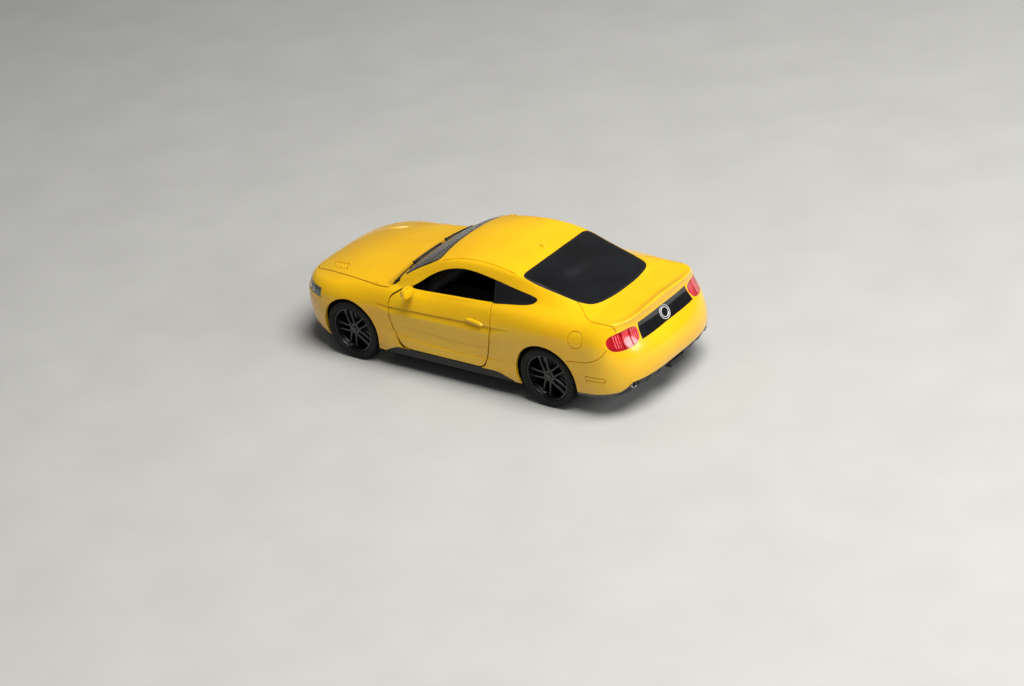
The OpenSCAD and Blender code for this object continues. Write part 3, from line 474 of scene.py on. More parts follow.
def gridNormals(ribs):
    flip = np.array([1, -1, 1])
    wide = np.concatenate([ribs[1:2] * flip, ribs, ribs[-2:-1] * flip])
    high = np.concatenate([ribs[:, :1], ribs, ribs[:, -2:-1] * flip], axis=1)
    along = wide[2:] - wide[:-2]
    up = high[:, 2:] - high[:, :-2]
    n = np.cross(along, up)
    return n / np.maximum(np.linalg.norm(n, axis=2, keepdims=True), 1e-9)


def bodyBlock(grid, depth, drop):
    # the whole body as one solid, taken in by depth; drop lets a cutter run out below
    ribs = grid["ribs"]
    count, rows = ribs.shape[:2]
    spots = ribs - depth * gridNormals(ribs)
    spots[:, 0] = ribs[:, 0] - depth * gridNormals(ribs)[:, 0]
    spots[:, 0, 2] -= drop
    ring = 2 * count - 2
    half = [j if j < count else ring - j for j in range(ring)]
    crown = count - grid["nose"] - grid["tail"]
    points = []
    for k in range(rows - 1):
        for j in range(ring):
            p = spots[half[j], k]
            points.append(p if j < count else p * [1, -1, 1])
    for i in range(grid["nose"], grid["nose"] + crown):
        points.append(spots[i, rows - 1] * [1, 0, 1])

    def at(j, k):
        return k * ring + j % ring

    def top(j):
        return (rows - 1) * ring + min(max(half[j % ring] - grid["nose"], 0), crown - 1)

    faces = []
    for k in range(rows - 2):
        for j in range(ring):
            faces.append([at(j, k), at(j + 1, k), at(j + 1, k + 1), at(j, k + 1)])
    for j in range(ring):
        a, b, c, d = at(j, rows - 2), at(j + 1, rows - 2), top(j), top(j + 1)
        faces.append([a, b, c] if c == d else [a, b, d, c])
    for i in range(1, count - 2):
        faces.append([i, ring - i, ring - i - 1, i + 1])
    faces.append([0, ring - 1, 1])
    faces.append([count - 1, count - 2, count])
    mesh = makeMesh(points, faces)
    build = bmesh.new()
    build.from_mesh(mesh)
    bmesh.ops.triangulate(build, faces=build.faces)
    bmesh.ops.recalc_face_normals(build, faces=build.faces)
    build.to_mesh(mesh)
    build.free()
    return mesh


fineGrid = makeGrid(24, 150, 26, 4)
coarseGrid = makeGrid(6, 27, 7, 1)
low, high = [np.array(corner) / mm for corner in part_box("body_shell")]
ribs = fineGrid["ribs"]
ownLow = np.array([ribs[:, :, 0].min(), -ribs[:, :, 1].max(), ribs[:, :, 2].min()])
ownHigh = ribs.reshape(-1, 3).max(axis=0)
stretch = np.minimum((high - low) / (ownHigh - ownLow), 1)
for grid in (fineGrid, coarseGrid):
    grid["ribs"] = (grid["ribs"] - [ownLow[0], 0, ownHigh[2]]) * stretch + [low[0], 0, high[2]]
cleanMesh = bodyBlock(fineGrid, 0, 0)
cleanSpots = [v.co.copy() for v in cleanMesh.vertices]
cleanTriangles = [tuple(f.vertices) for f in cleanMesh.polygons]
cleanNormals = [v.normal.copy() for v in cleanMesh.vertices]
cleanTree = BVHTree.FromPolygons(cleanSpots, cleanTriangles)
print("body surface", len(cleanTriangles), "triangles")


def surfaceNormal(point):
    spot, flat, index, gap = cleanTree.find_nearest(point)
    corners = cleanTriangles[index]
    weights = poly_3d_calc([cleanSpots[c] for c in corners], spot)
    normal = Vector((0, 0, 0))
    for c, w in zip(corners, weights):
        normal += cleanNormals[c] * w
    return normal.normalized(), gap, flat


def onSurface(points, way, lift=0):
    # drops outline points onto the body: way is side, plan, nose or tail
    spots = []
    normals = []
    for a, b in np.asarray(points, float):
        start, direction = {
            "side": ((a, 80, b), (0, -1, 0)),
            "plan": ((a, b, 120), (0, 0, -1)),
            "nose": ((150, a, b), (-1, 0, 0)),
            "tail": ((-150, a, b), (1, 0, 0)),
        }[way]
        spot, flat, index, gap = cleanTree.ray_cast(Vector(start), Vector(direction))
        normal = surfaceNormal(spot)[0]
        spots.append(np.array(spot + normal * lift))
        normals.append(np.array(normal))
    return np.array(spots), np.array(normals)


def shade(mesh, depth=None, angle=30):
    # soft normals; painted faces take theirs from the whole body surface, so cuts leave no dents
    mesh.polygons.foreach_set("use_smooth", [True] * len(mesh.polygons))
    mesh.set_sharp_from_angle(angle=math.radians(angle))
    if depth is None:
        mesh.update()
        return mesh
    mesh.update()
    found = []
    for v in mesh.vertices:
        normal, gap, flat = surfaceNormal(v.co)
        found.append((normal, abs(gap - depth) < 0.03))
    own = [c.vector.copy() for c in mesh.corner_normals]
    for face in mesh.polygons:
        corners = list(face.vertices)
        if not all(found[v][1] for v in corners):
            continue
        middle = found[corners[0]][0]
        if face.normal.dot(middle) < 0.93:
            continue
        for loop, v in zip(face.loop_indices, corners):
            own[loop] = found[v][0]
    mesh.normals_split_custom_set(own)
    return mesh


# materials


def addNode(tree, kind, settings=None, links=None):
    # one node with its settings, and the sockets that feed it
    node = tree.nodes.new(kind)
    for key, value in (settings or {}).items():
        if key in node.inputs:
            node.inputs[key].default_value = value
        else:
            setattr(node, key, value)
    for key, source in (links or {}).items():
        tree.links.new(source, node.inputs[key])
    return node


def makeMaterial(name, shader, tone, bump, gloss=None, edge=0):
    # tone: two colours mixed by a soft pattern; bump: fine surface relief; gloss: roughness from-to;
    # edge: how far the light rolls over a cut edge, in mm
    material = bpy.data.materials.new(name)
    material.use_nodes = True
    tree = material.node_tree
    tree.nodes.clear()
    place = addNode(tree, "ShaderNodeTexCoord").outputs["Object"]
    clouds = addNode(tree, "ShaderNodeTexNoise", {"Scale": 1 / (tone["size"] * mm), "Detail": 3.0},
                     {"Vector": place})
    mix = addNode(tree, "ShaderNodeValToRGB", None, {"Fac": clouds.outputs["Fac"]})
    mix.color_ramp.elements[0].position = 0.35
    mix.color_ramp.elements[1].position = 0.65
    mix.color_ramp.elements[0].color = hexColor(tone["dark"])
    mix.color_ramp.elements[1].color = hexColor(tone["light"])
    kind = bump.get("kind", "noise")
    if kind == "cells":
        relief = addNode(tree, "ShaderNodeTexVoronoi", {"Scale": 1 / (bump["size"] * mm)}, {"Vector": place})
        height = relief.outputs["Distance"]
    elif kind == "lines":
        relief = addNode(tree, "ShaderNodeTexWave", {"Scale": 0.05 / (bump["size"] * mm), "Distortion": 1.2,
                                                     "bands_direction": bump.get("along", "X")},
                         {"Vector": place})
        height = relief.outputs["Fac"]
    else:
        relief = addNode(tree, "ShaderNodeTexNoise", {"Scale": 1 / (bump["size"] * mm), "Detail": 2.0},
                         {"Vector": place})
        height = relief.outputs["Fac"]
    raised = addNode(tree, "ShaderNodeBump", {"Strength": bump["strength"], "Distance": bump["depth"] * mm},
                     {"Height": height})
    if edge:
        rolled = addNode(tree, "ShaderNodeBevel", {"samples": 6, "Radius": edge * mm})
        tree.links.new(rolled.outputs["Normal"], raised.inputs["Normal"])
    links = {"Base Color": mix.outputs["Color"], "Normal": raised.outputs["Normal"]}
    if gloss:
        rough = addNode(tree, "ShaderNodeMapRange", {"To Min": gloss[0], "To Max": gloss[1]},
                        {"Value": clouds.outputs["Fac"]})
        links["Roughness"] = rough.outputs["Result"]
    surface = addNode(tree, "ShaderNodeBsdfPrincipled", shader, links)
    addNode(tree, "ShaderNodeOutputMaterial", None, {"Surface": surface.outputs["BSDF"]})
    return material


materials = {
    # two-coat gloss enamel on cast zinc: a clear skin gives sharp reflections over slightly softer colour
    "enamel": makeMaterial(
        "gloss_enamel_on_zinc", {"Coat Weight": 0.55, "Coat Roughness": 0.05, "Coat IOR": 1.45, "IOR": 1.45},
        {"dark": "EDB408", "light": "F3C00C", "size": 30}, {"size": 1.6, "strength": 0.05, "depth": 0.02},
        [0.22, 0.32], 0.3),
    # pad-printed black enamel round the glass openings
    "blackEnamel": makeMaterial(
        "printed_black_enamel", {"Coat Weight": 0.6, "Coat Roughness": 0.08, "IOR": 1.5},
        {"dark": "0B0B0C", "light": "131315", "size": 8}, {"size": 0.6, "strength": 0.06, "depth": 0.01},
        [0.25, 0.4]),
    # injection-moulded ABS from a spark-eroded tool: a fine even grain breaks up the highlight
    "satinBlack": makeMaterial(
        "moulded_satin_abs", {"IOR": 1.53, "Specular IOR Level": 0.4},
        {"dark": "0B0B0C", "light": "131315", "size": 6}, {"size": 0.18, "strength": 0.35, "depth": 0.02},
        [0.38, 0.52]),
    # polished-tool ABS, the piano-black strip between the lamps
    "glossBlack": makeMaterial(
        "polished_black_abs", {"Coat Weight": 1.0, "Coat Roughness": 0.03, "IOR": 1.53},
        {"dark": "060607", "light": "0C0C0E", "size": 12}, {"size": 4, "strength": 0.05, "depth": 0.02},
        [0.12, 0.2]),
    # acrylic tail lens, red through its whole thickness
    "redLens": makeMaterial(
        "red_acrylic_lens", {"Coat Weight": 1.0, "Coat Roughness": 0.05, "IOR": 1.49,
                             "Transmission Weight": 0.15},
        {"dark": "A80616", "light": "D61826", "size": 3}, {"size": 0.9, "strength": 0.1, "depth": 0.03},
        [0.12, 0.25]),
    # pale ribs moulded behind the red lens
    "paleLens": makeMaterial(
        "pale_acrylic_rib", {"Coat Weight": 1.0, "Coat Roughness": 0.06, "IOR": 1.49},
        {"dark": "DA3A44", "light": "EE7C82", "size": 2}, {"size": 0.7, "strength": 0.1, "depth": 0.02},
        [0.15, 0.3]),
    # clear polystyrene lamp cover, thin enough to see the dark housing through
    "clearLens": makeMaterial(
        "clear_styrene_cover", {"Coat Weight": 1.0, "Coat Roughness": 0.02, "IOR": 1.59, "Alpha": 0.16},
        {"dark": "8C9498", "light": "A9B1B5", "size": 6}, {"size": 2.5, "strength": 0.04, "depth": 0.02},
        [0.03, 0.08]),
    # clear windscreen moulding with a faint grey cast and soft flow marks
    "clearGlazing": makeMaterial(
        "clear_styrene_glazing", {"Coat Weight": 1.0, "Coat Roughness": 0.02, "IOR": 1.59, "Alpha": 0.45},
        {"dark": "77736A", "light": "8C887C", "size": 12}, {"size": 9, "strength": 0.06, "depth": 0.05},
        [0.03, 0.07]),
    # rear and quarter glazing made dark and nearly opaque: painted shade standing in for the black cabin seen
    # through clear styrene, with slightly wavy reflections
    "glazingWithPaintedShade": makeMaterial(
        "dark_styrene_glazing_with_painted_cabin_shade", {"Coat Weight": 1.0, "Coat Roughness": 0.03, "IOR": 1.59, "Alpha": 0.86},
        {"dark": "0B0B0D", "light": "141517", "size": 14}, {"size": 10, "strength": 0.08, "depth": 0.06},
        [0.06, 0.12]),
    # spark-grained seat moulding, duller than the trim
    "seatBlack": makeMaterial(
        "grained_seat_abs", {"IOR": 1.53}, {"dark": "191A1C", "light": "26272A", "size": 5},
        {"kind": "cells", "size": 0.5, "strength": 0.4, "depth": 0.03}, [0.5, 0.66]),
    # vulcanised rubber: no clear reflections, dust-pale in its fine pores
    "rubber": makeMaterial(
        "tyre_rubber", {"IOR": 1.52, "Specular IOR Level": 0.35},
        {"dark": "060607", "light": "0C0C0D", "size": 2.5}, {"size": 0.22, "strength": 0.5, "depth": 0.03},
        [0.6, 0.78]),
    # black-lacquered wheel moulding, glossier than the tyre
    "rimBlack": makeMaterial(
        "black_lacquered_wheel", {"Coat Weight": 0.35, "Coat Roughness": 0.12, "IOR": 1.5},
        {"dark": "040405", "light": "09090B", "size": 4}, {"size": 0.4, "strength": 0.12, "depth": 0.02},
        [0.24, 0.36]),
    # vacuum-plated plastic: a bright mirror with slight orange peel
    "brightTrim": makeMaterial(
        "vacuum_plated_trim", {"Metallic": 1.0}, {"dark": "C9CBCF", "light": "E2E4E7", "size": 3},
        {"size": 0.8, "strength": 0.08, "depth": 0.01}, [0.12, 0.22]),
    # silver ink stamped on raised rings: metallic but soft
    "silverPrint": makeMaterial(
        "stamped_silver_ink", {"Metallic": 0.5, "IOR": 1.5}, {"dark": "D9DADC", "light": "ECEDEE", "size": 1},
        {"size": 0.3, "strength": 0.15, "depth": 0.01}, [0.35, 0.5]),
    # turned steel pins and screws, with fine lathe lines
    "pinSteel": makeMaterial(
        "turned_steel", {"Metallic": 1.0}, {"dark": "9A9C9F", "light": "C4C6C8", "size": 1.5},
        {"kind": "lines", "size": 0.12, "strength": 0.3, "depth": 0.01}, [0.25, 0.38]),
    # silver-grey moulded engine, speckled like painted castings
    "engineGrey": makeMaterial(
        "grey_moulded_engine", {"Metallic": 0.35, "IOR": 1.5},
        {"dark": "6C6F73", "light": "8E9195", "size": 1.2},
        {"kind": "cells", "size": 0.4, "strength": 0.35, "depth": 0.03}, [0.35, 0.55]),
    # red printed valve covers
    "engineRed": makeMaterial(
        "red_printed_cover", {"Coat Weight": 0.3, "Coat Roughness": 0.2, "IOR": 1.5},
        {"dark": "7E1116", "light": "9A1A1E", "size": 2}, {"size": 0.3, "strength": 0.3, "depth": 0.02},
        [0.3, 0.5]),
    # plain pale table
    "table": makeMaterial(
        "pale_matt_board", {"IOR": 1.45, "Specular IOR Level": 0.3},
        {"dark": "B6B6B4", "light": "BABAB8", "size": 40},
        {"size": 1.2, "strength": 0.1, "depth": 0.05}, [0.6, 0.72]),
}
print("materials", len(materials))


def addPiece(name, mesh, finish, on, node=None, depth=None, angle=30):
    # turns a millimetre mesh into a piece of the car that moves with a body of the frame
    mesh = shade(mesh, depth, angle)
    normals = [c.vector.copy() for c in mesh.corner_normals] if depth is not None else None
    spots = np.empty(len(mesh.vertices) * 3)
    mesh.vertices.foreach_get("co", spots)
    mesh.vertices.foreach_set("co", spots * mm)
    mesh.update()
    if normals:
        mesh.normals_split_custom_set(normals)
    mesh.name = name
    indices = [face.material_index for face in mesh.polygons]
    mesh.materials.clear()
    for key in finish:
        mesh.materials.append(materials[key])
    mesh.polygons.foreach_set("material_index", indices)
    piece = bpy.data.objects.new(name, mesh)
    bpy.context.scene.collection.objects.link(piece)
    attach(piece, on)
    if node:
        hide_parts(node)


def addPair(name, mesh, finish, on, node=None, depth=None, angle=30):
    # left piece and its mirror image; {side} in a name becomes left or right
    for side, part in (("left", mesh), ("right", mirrored(mesh))):
        addPiece(name.format(side=side), part, finish, on.format(side=side),
                 node.format(side=side) if node else None, depth, angle)


def paintNode(node, materialName):
    # a frame part whose shape is right keeps it and gets a finish
    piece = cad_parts[node]
    piece.data.materials.clear()
    piece.data.materials.append(materials[materialName])


# outlines, x y z in mm as the panels are drawn

outlines = {
    "window": soften([[25.4, 40.9], [19.3, 44.5], [13.5, 48.4], [7, 51.5], [0, 53.4], [-7, 54.1],
                      [-14, 53.8], [-23.5, 52.6], [-34.5, 50.4], [-42.3, 48.9], [-47, 47.6], [-45, 45.7],
                      [-41, 44.8], [-31.7, 43.8], [-22.4, 42.7], [-10.9, 42.2], [6.5, 41.4], [21.2, 40.6]],
                      3),
    "quarter": [[-23.9, 38], [-22.6, 60], [-60, 60], [-60, 38]],
    "door": roundCorners([[-22.6, 44.6], [-23.7, 38], [-23.9, 32.5], [-22.4, 25], [-20.4, 18], [-19, 14.2],
                          [-16.5, 12.8], [24, 12.8], [27.6, 13.4], [29.8, 15.2], [31.8, 18.8], [33.4, 22.4],
                          [34.4, 26.5], [34.9, 30.5], [34.9, 33.6], [33.9, 36.9], [28.7, 40], [24, 41.6],
                          [6.5, 43], [-10.9, 44]], 1.6),
    "doorRelief": [[24, 12.4], [29.8, 12.4], [31.1, 13.8], [31.7, 16], [32.3, 18.4], [30, 19]],
    "doorCard": soften([[20, 17], [20, 31], [14, 37], [-15, 38.5], [-20, 33], [-18, 17]], 4),
    "sill": roundCorners([[44, 0], [41.5, 8], [33, 12.3], [-27, 12.3], [-35.5, 8.3], [-37, 0]], 3),
    "screen": soften([[12, 0], [11.4, 16], [10.2, 23.9], [12.6, 25.3], [24, 27.6], [31.6, 29.8],
                      [31.9, 0], [31.6, -29.8], [24, -27.6], [12.6, -25.3], [10.2, -23.9], [11.4, -16]], 3),
    "cowl": [[31.9, 30.6], [35.4, 31.6], [35.4, -31.6], [31.9, -30.6]],
    "cowlOpening": [[31.2, 29.3], [31.8, 30.6], [38, 32.36], [38, -32.36], [31.8, -30.6], [31.2, -29.3]],
    "rearGlass": soften([[-36.6, 0], [-36.4, 15], [-35.8, 24.4], [-40, 25.4], [-56, 24], [-66, 23.2],
                         [-72, 20.5], [-74.4, 10], [-74.8, 0], [-74.4, -10], [-72, -20.5], [-66, -23.2],
                         [-56, -24], [-40, -25.4], [-35.8, -24.4], [-36.4, -15]], 3),
    "hood": roundCorners([[95.3, 0], [94.8, 9], [93, 17.5], [89.4, 22.9], [71.5, 27.7], [56.4, 30.6],
                          [42.2, 32.8], [36.5, 32.8], [36.4, 0], [36.5, -32.8], [42.2, -32.8], [56.4, -30.6],
                          [71.5, -27.7], [89.4, -22.9], [93, -17.5], [94.8, -9]], 2),
    "tailLamp": soften([[19, 40.9], [20.6, 33.4], [31.5, 32.4], [34.9, 33.6], [34.9, 37.6], [32.3, 40.3]], 3),
    "tailPanel": [[18.5, 40.7], [20, 33.7], [-20, 33.7], [-18.5, 40.7]],
    "diffuser": [[-33.5, 0], [-33.5, 12.8], [-29.5, 17.3], [29.5, 17.3], [33.5, 12.8], [33.5, 0]],
    "splitter": [[-36, 0], [-36, 9.3], [-28, 11], [28, 11], [36, 9.3], [36, 0]],
    "grille": roundCorners([[-20.5, 21.5], [-22.5, 25.5], [-20, 29.4], [20, 29.4], [22.5, 25.5],
                            [20.5, 21.5]], 1),
    "intake": roundCorners([[-27, 12.8], [-24, 17.8], [24, 17.8], [27, 12.8]], 1),
    "headlamp": roundCorners([[102, 24], [102, 44], [78.5, 44], [77, 38], [77, 34], [88, 27.5], [93.5, 24]],
                             0.8),
}
insertGap = 0.06
lampDepth = 0.1
cutterDrop = 6  # inner cutters run out this far below the sills
shutGap = 0.65
hoodGap = 0.45
axleX = [59.9, -53.4]
axleZ = 14.75


def sideCut(key, gap=0):
    return prism(grown(outlines[key], gap), "side", 15, 60)


def planCut(key, gap=0, low=10, high=80):
    return prism(grown(outlines[key], gap), "plan", low, high)


def faceCut(key, back, front, gap=0):
    return prism(grown(outlines[key], gap), "face", back, front)


# engraved and raised lines on the casting

lines = {
    "shutWidth": 0.5,  # engraved lines that imitate panel gaps
    "shutDepth": 0.45,
    "deck": [[-62.6, 23.3], [-64.5, 23.3], [-69, 26.2], [-72.2, 29], [-76.3, 31], [-81.4, 31.2],
             [-85.5, 30.9], [-88.6, 30]],
    "bumper": [[-66.5, 26.6], [-75, 27.4], [-80.1, 28.8], [-84, 31.1], [-86.3, 34]],
    "fuelCap": [-71.4, 37, 3.7],
    "marker": [[-75.5, 19], [-85.4, 19], [-85.4, 20.9], [-75.5, 20.9]],
    "roofDitch": [[9, 25], [4, 23.9], [-0.2, 23.2], [-9, 23.2], [-22, 24.1], [-33, 25.2]],
    "shoulder": [[46, 32.6], [33.7, 32.3], [10, 32.8], [-7, 33.3], [-24, 33.6], [-36, 34.4]],
    "shoulderReach": 5.5,
    "shoulderDepth": 0.5,
    "rocker": [[38, 20], [26, 18], [8, 16.9], [-10, 16.7], [-24, 17.6], [-32, 19]],
    "vent": [[82.9, 18.2], [71.4, 20.2], [68.6, 24.3], [78.2, 22.9]],
}


def engraved(points, way, width, depth, count, closed=False):
    # a groove with sloped walls that follows the surface
    path = smoothPath(points, count, closed)
    spots, normals = onSurface(path, way)
    w = width / 2
    return sweep(spots, normals, [[-w, 0.4], [-w * 0.95, 0], [-w * 0.4, -depth], [w * 0.4, -depth],
                                  [w * 0.95, 0], [w, 0.4]], closed)


def creased(points, way, reachWidth, depth, count):
    # a sharp upper edge over a long shallow slope that runs out into the panel
    path = smoothPath(points, count)
    spots, normals = onSurface(path, way)
    run = np.linspace(0, 1, count)
    fade = np.clip(np.minimum(run, 1 - run) * 6, 0.02, 1)
    w = reachWidth
    sections = sweep(spots, normals, [[0.25, 0.5], [0.05, 0], [0, -depth], [-w * 0.5, -depth * 0.55],
                                      [-w, 0.02],
                                      [-w, 0.5]], False, fade)
    return sections


def layer(zone, front, back):
    # what lies between two depths under the body surface, inside a zone
    return minus(common(bodyBlock(fineGrid, front, 0), zone), bodyBlock(coarseGrid, back, cutterDrop))


def circlePath(centre, radius, count):
    return [[centre[0] + radius * math.cos(a), centre[1] + radius * math.sin(a)]
            for a in np.linspace(0, 2 * math.pi, count, endpoint=False)]


outer = cleanMesh.copy()
cuts = []
w = lines["shutWidth"]
d = lines["shutDepth"]
cap = lines["fuelCap"]
sideCuts = [
    engraved(lines["deck"], "plan", w, d, 40),
    engraved(lines["bumper"], "side", w, d, 36),
    engraved(circlePath(cap, cap[2], 40), "side", w * 0.9, d * 0.8, 48, True),
    engraved(roundCorners(lines["marker"], 1, 4), "side", w * 0.8, d * 0.8, 60, True),
    engraved(lines["roofDitch"], "plan", 0.7, 0.4, 50),
    creased(lines["shoulder"][::-1], "side", lines["shoulderReach"], lines["shoulderDepth"], 90),
    creased(lines["rocker"], "side", 6, 0.45, 80),
]
for cut in sideCuts:
    cuts += [cut, mirrored(cut)]
spots, normals = onSurface([[-27, 33.4]], "tail")
dimple = lathe([[0, -0.35], [0.6, -0.35], [0.9, 0.3], [0, 0.3]], 24, "x", closed=False)
sensors = [moved(dimple, spots[0], facing(normals[0]))]
cuts += [sensors[0], mirrored(sensors[0])]
for cut in cuts:
    outer = minus(outer, cut)
print("engraved body", len(outer.polygons), "faces")

inner = bodyBlock(coarseGrid, body["wall"], cutterDrop)

# body shell

arch = {"radius": 16.4, "inside": 24, "outside": 54}

shell = minus(outer, inner)
for key, gap in (("window", 0), ("door", shutGap), ("doorRelief", 0), ("sill", 0)):
    cut = sideCut(key, gap)
    shell = minus(shell, cut, mirrored(cut))
lampCutLow = 28
lampCutHigh = 32.8
lampCut = prism(outlines["headlamp"], "plan", lampCutLow, lampCutHigh)
tailCut = faceCut("tailLamp", -104, -85.6)
shell = minus(shell, lampCut, mirrored(lampCut), tailCut, mirrored(tailCut))
shell = minus(shell, planCut("screen"), planCut("cowlOpening", 0, 30), planCut("rearGlass"),
              planCut("hood", hoodGap, 26))
shell = minus(shell, faceCut("tailPanel", -104, -86), faceCut("diffuser", -104, -80),
              faceCut("splitter", 74, 104), faceCut("grille", 84, 104), faceCut("intake", 84, 104))
for x in axleX:
    wheelHole = rod(arch["radius"], arch["inside"], arch["outside"], 96, "y", (x, 0, axleZ))
    shell = minus(shell, wheelHole, mirrored(wheelHole))
print("body shell", len(shell.polygons), "faces")


valance = prism([[-104, 0], [-104, 14.2], [-96, 13.9], [-86, 12.9], [-76, 11.6], [-69, 11.2], [-69, 0]],
                "side",
                -50, 50)
shell = joined([minus(shell, valance), common(shell, valance)], [0, 1])
addPiece("bodyShell", shell, ["enamel", "blackEnamel"], "chassis", "body_shell", 0)

# doors

door = {
    "pin": [24, 35.9],
    "knuckles": [[15.5, 18.5], [26, 29]],
    "knuckleRadius": 0.9,
    "leafY": 37.6,
    "handle": [[-9.8, 34.6], [-13, 34.5], [-17, 34.1], [-20.2, 33.6]],
    "handleWidth": 1.9,
    "handleHeight": 0.85,
}
panel = minus(common(outer, sideCut("door")), sideCut("window"), inner)
handlePath, handleNormals = onSurface(smoothPath(door["handle"], 40), "side")
run = np.linspace(-1, 1, 40)
bar = np.clip(1 - np.abs(run) ** 8, 0.25, 1)
profile = [[0.5 * door["handleWidth"] * math.cos(a), door["handleHeight"] * max(-0.3, math.sin(a))]
           for a in np.linspace(0, 2 * math.pi, 20, endpoint=False)]
handle = sweep(handlePath, handleNormals, profile, False, bar)
knuckles = []
for low, high in door["knuckles"]:
    x, y = door["pin"]
    r = door["knuckleRadius"]
    knuckles.append(rod(r, low, high, 32, "z", (x, y, 0)))
    knuckles.append(roundedBox([x - r, y, low], [x + r, door["leafY"], high], 0.2))
doorMesh = joined([panel, handle] + knuckles)
addPair("doorPanel_{side}", doorMesh, ["enamel"], "{side}_door", "door_{side}", 0)

card = layer(sideCut("doorCard"), 1.32, 2.15)
addPair("doorCard_{side}", card, ["satinBlack"], "{side}_door", "door_card_{side}")
print("doors")

# bonnet

hood = {"pin": [53, 38.4], "spots": [15, -15], "lugMiddle": 2.3, "lugHalf": 0.8, "lugRadius": 0.95,
        "lugRise": 1.9}
hoodOuter = outer
for side in (1, -1):
    vent = np.array(lines["vent"]) * [1, side]
    hoodOuter = minus(hoodOuter, engraved(roundCorners(vent, 0.8, 4), "plan", 0.45, 0.4, 60, True))
    for k in range(1, 5):
        t = k / 5
        a = vent[0] * (1 - t) + vent[1] * t
        b = vent[3] * (1 - t) + vent[2] * t
        a, b = a * 0.86 + b * 0.14, a * 0.14 + b * 0.86
        hoodOuter = minus(hoodOuter, engraved([a, (a + b) / 2, b], "plan", 1.1, 0.35, 10))
hoodPanel = minus(common(hoodOuter, planCut("hood", 0, 26)), inner)
lugs = []
for y in hood["spots"]:
    for way in (-1, 1):
        x, z = hood["pin"]
        r = hood["lugRadius"]
        back = y + way * hood["lugMiddle"] - hood["lugHalf"]
        front = back + 2 * hood["lugHalf"]
        lugs.append(rod(r, back, front, 32, "y", (x, 0, z)))
        lugs.append(roundedBox([x - r, back, z], [x + r, front, z + hood["lugRise"]], 0.2))
addPiece("bonnet", joined([hoodPanel] + lugs), ["enamel"], "hood", "hood", 0)
print("bonnet")

# glazing

pane = {"depth": 0.25, "quarterDepth": 0.3, "thick": 1, "border": 1.5, "quarterBorder": 0.9}


def glazing(cutter, edge, depth):
    # a curved pane with a printed black border
    glass = layer(cutter, depth, depth + pane["thick"])
    return joined([common(glass, edge), minus(glass, edge)], [0, 1])


screenPane = glazing(planCut("screen", -insertGap), planCut("screen", -pane["border"]), pane["depth"])
addPiece("windscreen", screenPane, ["clearGlazing", "blackEnamel"], "chassis", "windscreen", pane["depth"])
# the rear pane's dark, nearly opaque glazing is painted shade of the black cabin behind it
rearPane = glazing(planCut("rearGlass", -insertGap), planCut("rearGlass", -pane["border"]), pane["depth"])
addPiece("rearWindow", rearPane, ["glazingWithPaintedShade", "blackEnamel"], "chassis", "rear_window", pane["depth"])
quarterCut = common(sideCut("window", -insertGap), prism(outlines["quarter"], "side", 10, 70))
quarterEdge = common(sideCut("window", -pane["quarterBorder"]),
                     prism(grown(outlines["quarter"], -pane["quarterBorder"]), "side", 10, 70))
quarterPane = glazing(quarterCut, quarterEdge, pane["quarterDepth"])
# the quarter panes' dark, nearly opaque glazing is painted shade of the black cabin behind them
addPair("quarterWindow_{side}", quarterPane, ["glazingWithPaintedShade", "blackEnamel"], "chassis",
        "quarter_window_{side}", pane["quarterDepth"])
print("glazing")

# cowl and wipers

cowl = {"slots": [32.9, 33.8, 34.6], "depth": 0.45}
cowlMesh = layer(planCut("cowl", -insertGap, 30), cowl["depth"], 1.5)
for x in cowl["slots"]:
    for y0, y1 in ((-27, -12), (-10, 10), (12, 27)):
        slot = engraved([[x, y0], [x, (y0 + y1) / 2], [x, y1]], "plan", 0.4, 1.0, 16)
        cowlMesh = minus(cowlMesh, slot)
addPiece("cowlGrille", cowlMesh, ["satinBlack"], "chassis", "cowl_panel", None, 25)

wipers = {"left": [[34.1, 16], [33.4, 8], [32.3, -1.4]], "right": [[34.1, -8], [33.4, -16], [32.3, -25.2]]}
for side, route in wipers.items():
    spots, normals = onSurface(smoothPath(route, 30), "plan", 0.1)
    taper = np.linspace(1.1, 0.65, 30)
    arm = sweep(spots, normals, [[-0.4, -0.3], [-0.4, 0.15], [-0.2, 0.38], [0.2, 0.38], [0.4, 0.15],
                                 [0.4, -0.3]],
                False, taper)
    blade, bladeNormals = onSurface(smoothPath(np.array(route)[[0, 1, 2]] + [[-1.2, -1], [-1.1, 0],
                                                                             [-0.7, 0]], 30),
                                    "plan", 0.05)
    strip = sweep(blade, bladeNormals, [[-0.22, -0.3], [-0.12, 0.3], [0.12, 0.3], [0.22, -0.3]])
    hub = lathe([[0, -0.4], [0.85, -0.4], [0.85, 0.25], [0.6, 0.45], [0, 0.5]], 24, "z", spots[0], False)
    addPiece("wiper_" + side, joined([arm, strip, hub]), ["satinBlack"], "chassis", "wiper_" + side)

# roof nub

nub = {"place": [-29.5, 0, 57.3], "size": [2, 0.8, 1.1]}
dome = []
for i in range(1, 9):
    h = math.sin(math.pi / 2 * i / 9)
    r = math.cos(math.pi / 2 * i / 9)
    dome.append([[nub["place"][0] - 0.35 * h + nub["size"][0] * r * math.cos(a),
                  nub["size"][1] * r * math.sin(a), nub["place"][2] - 0.5 + (nub["size"][2] + 0.5) * h]
                 for a in np.linspace(0, 2 * math.pi, 28, endpoint=False)])
addPiece("roofNub", loft(dome), ["enamel"], "chassis", "antenna_nub")

# mirrors

mirror = {"middle": [19.3, 39.4, 43.4], "half": [3.15, 3.75, 2.65], "power": 2.6}


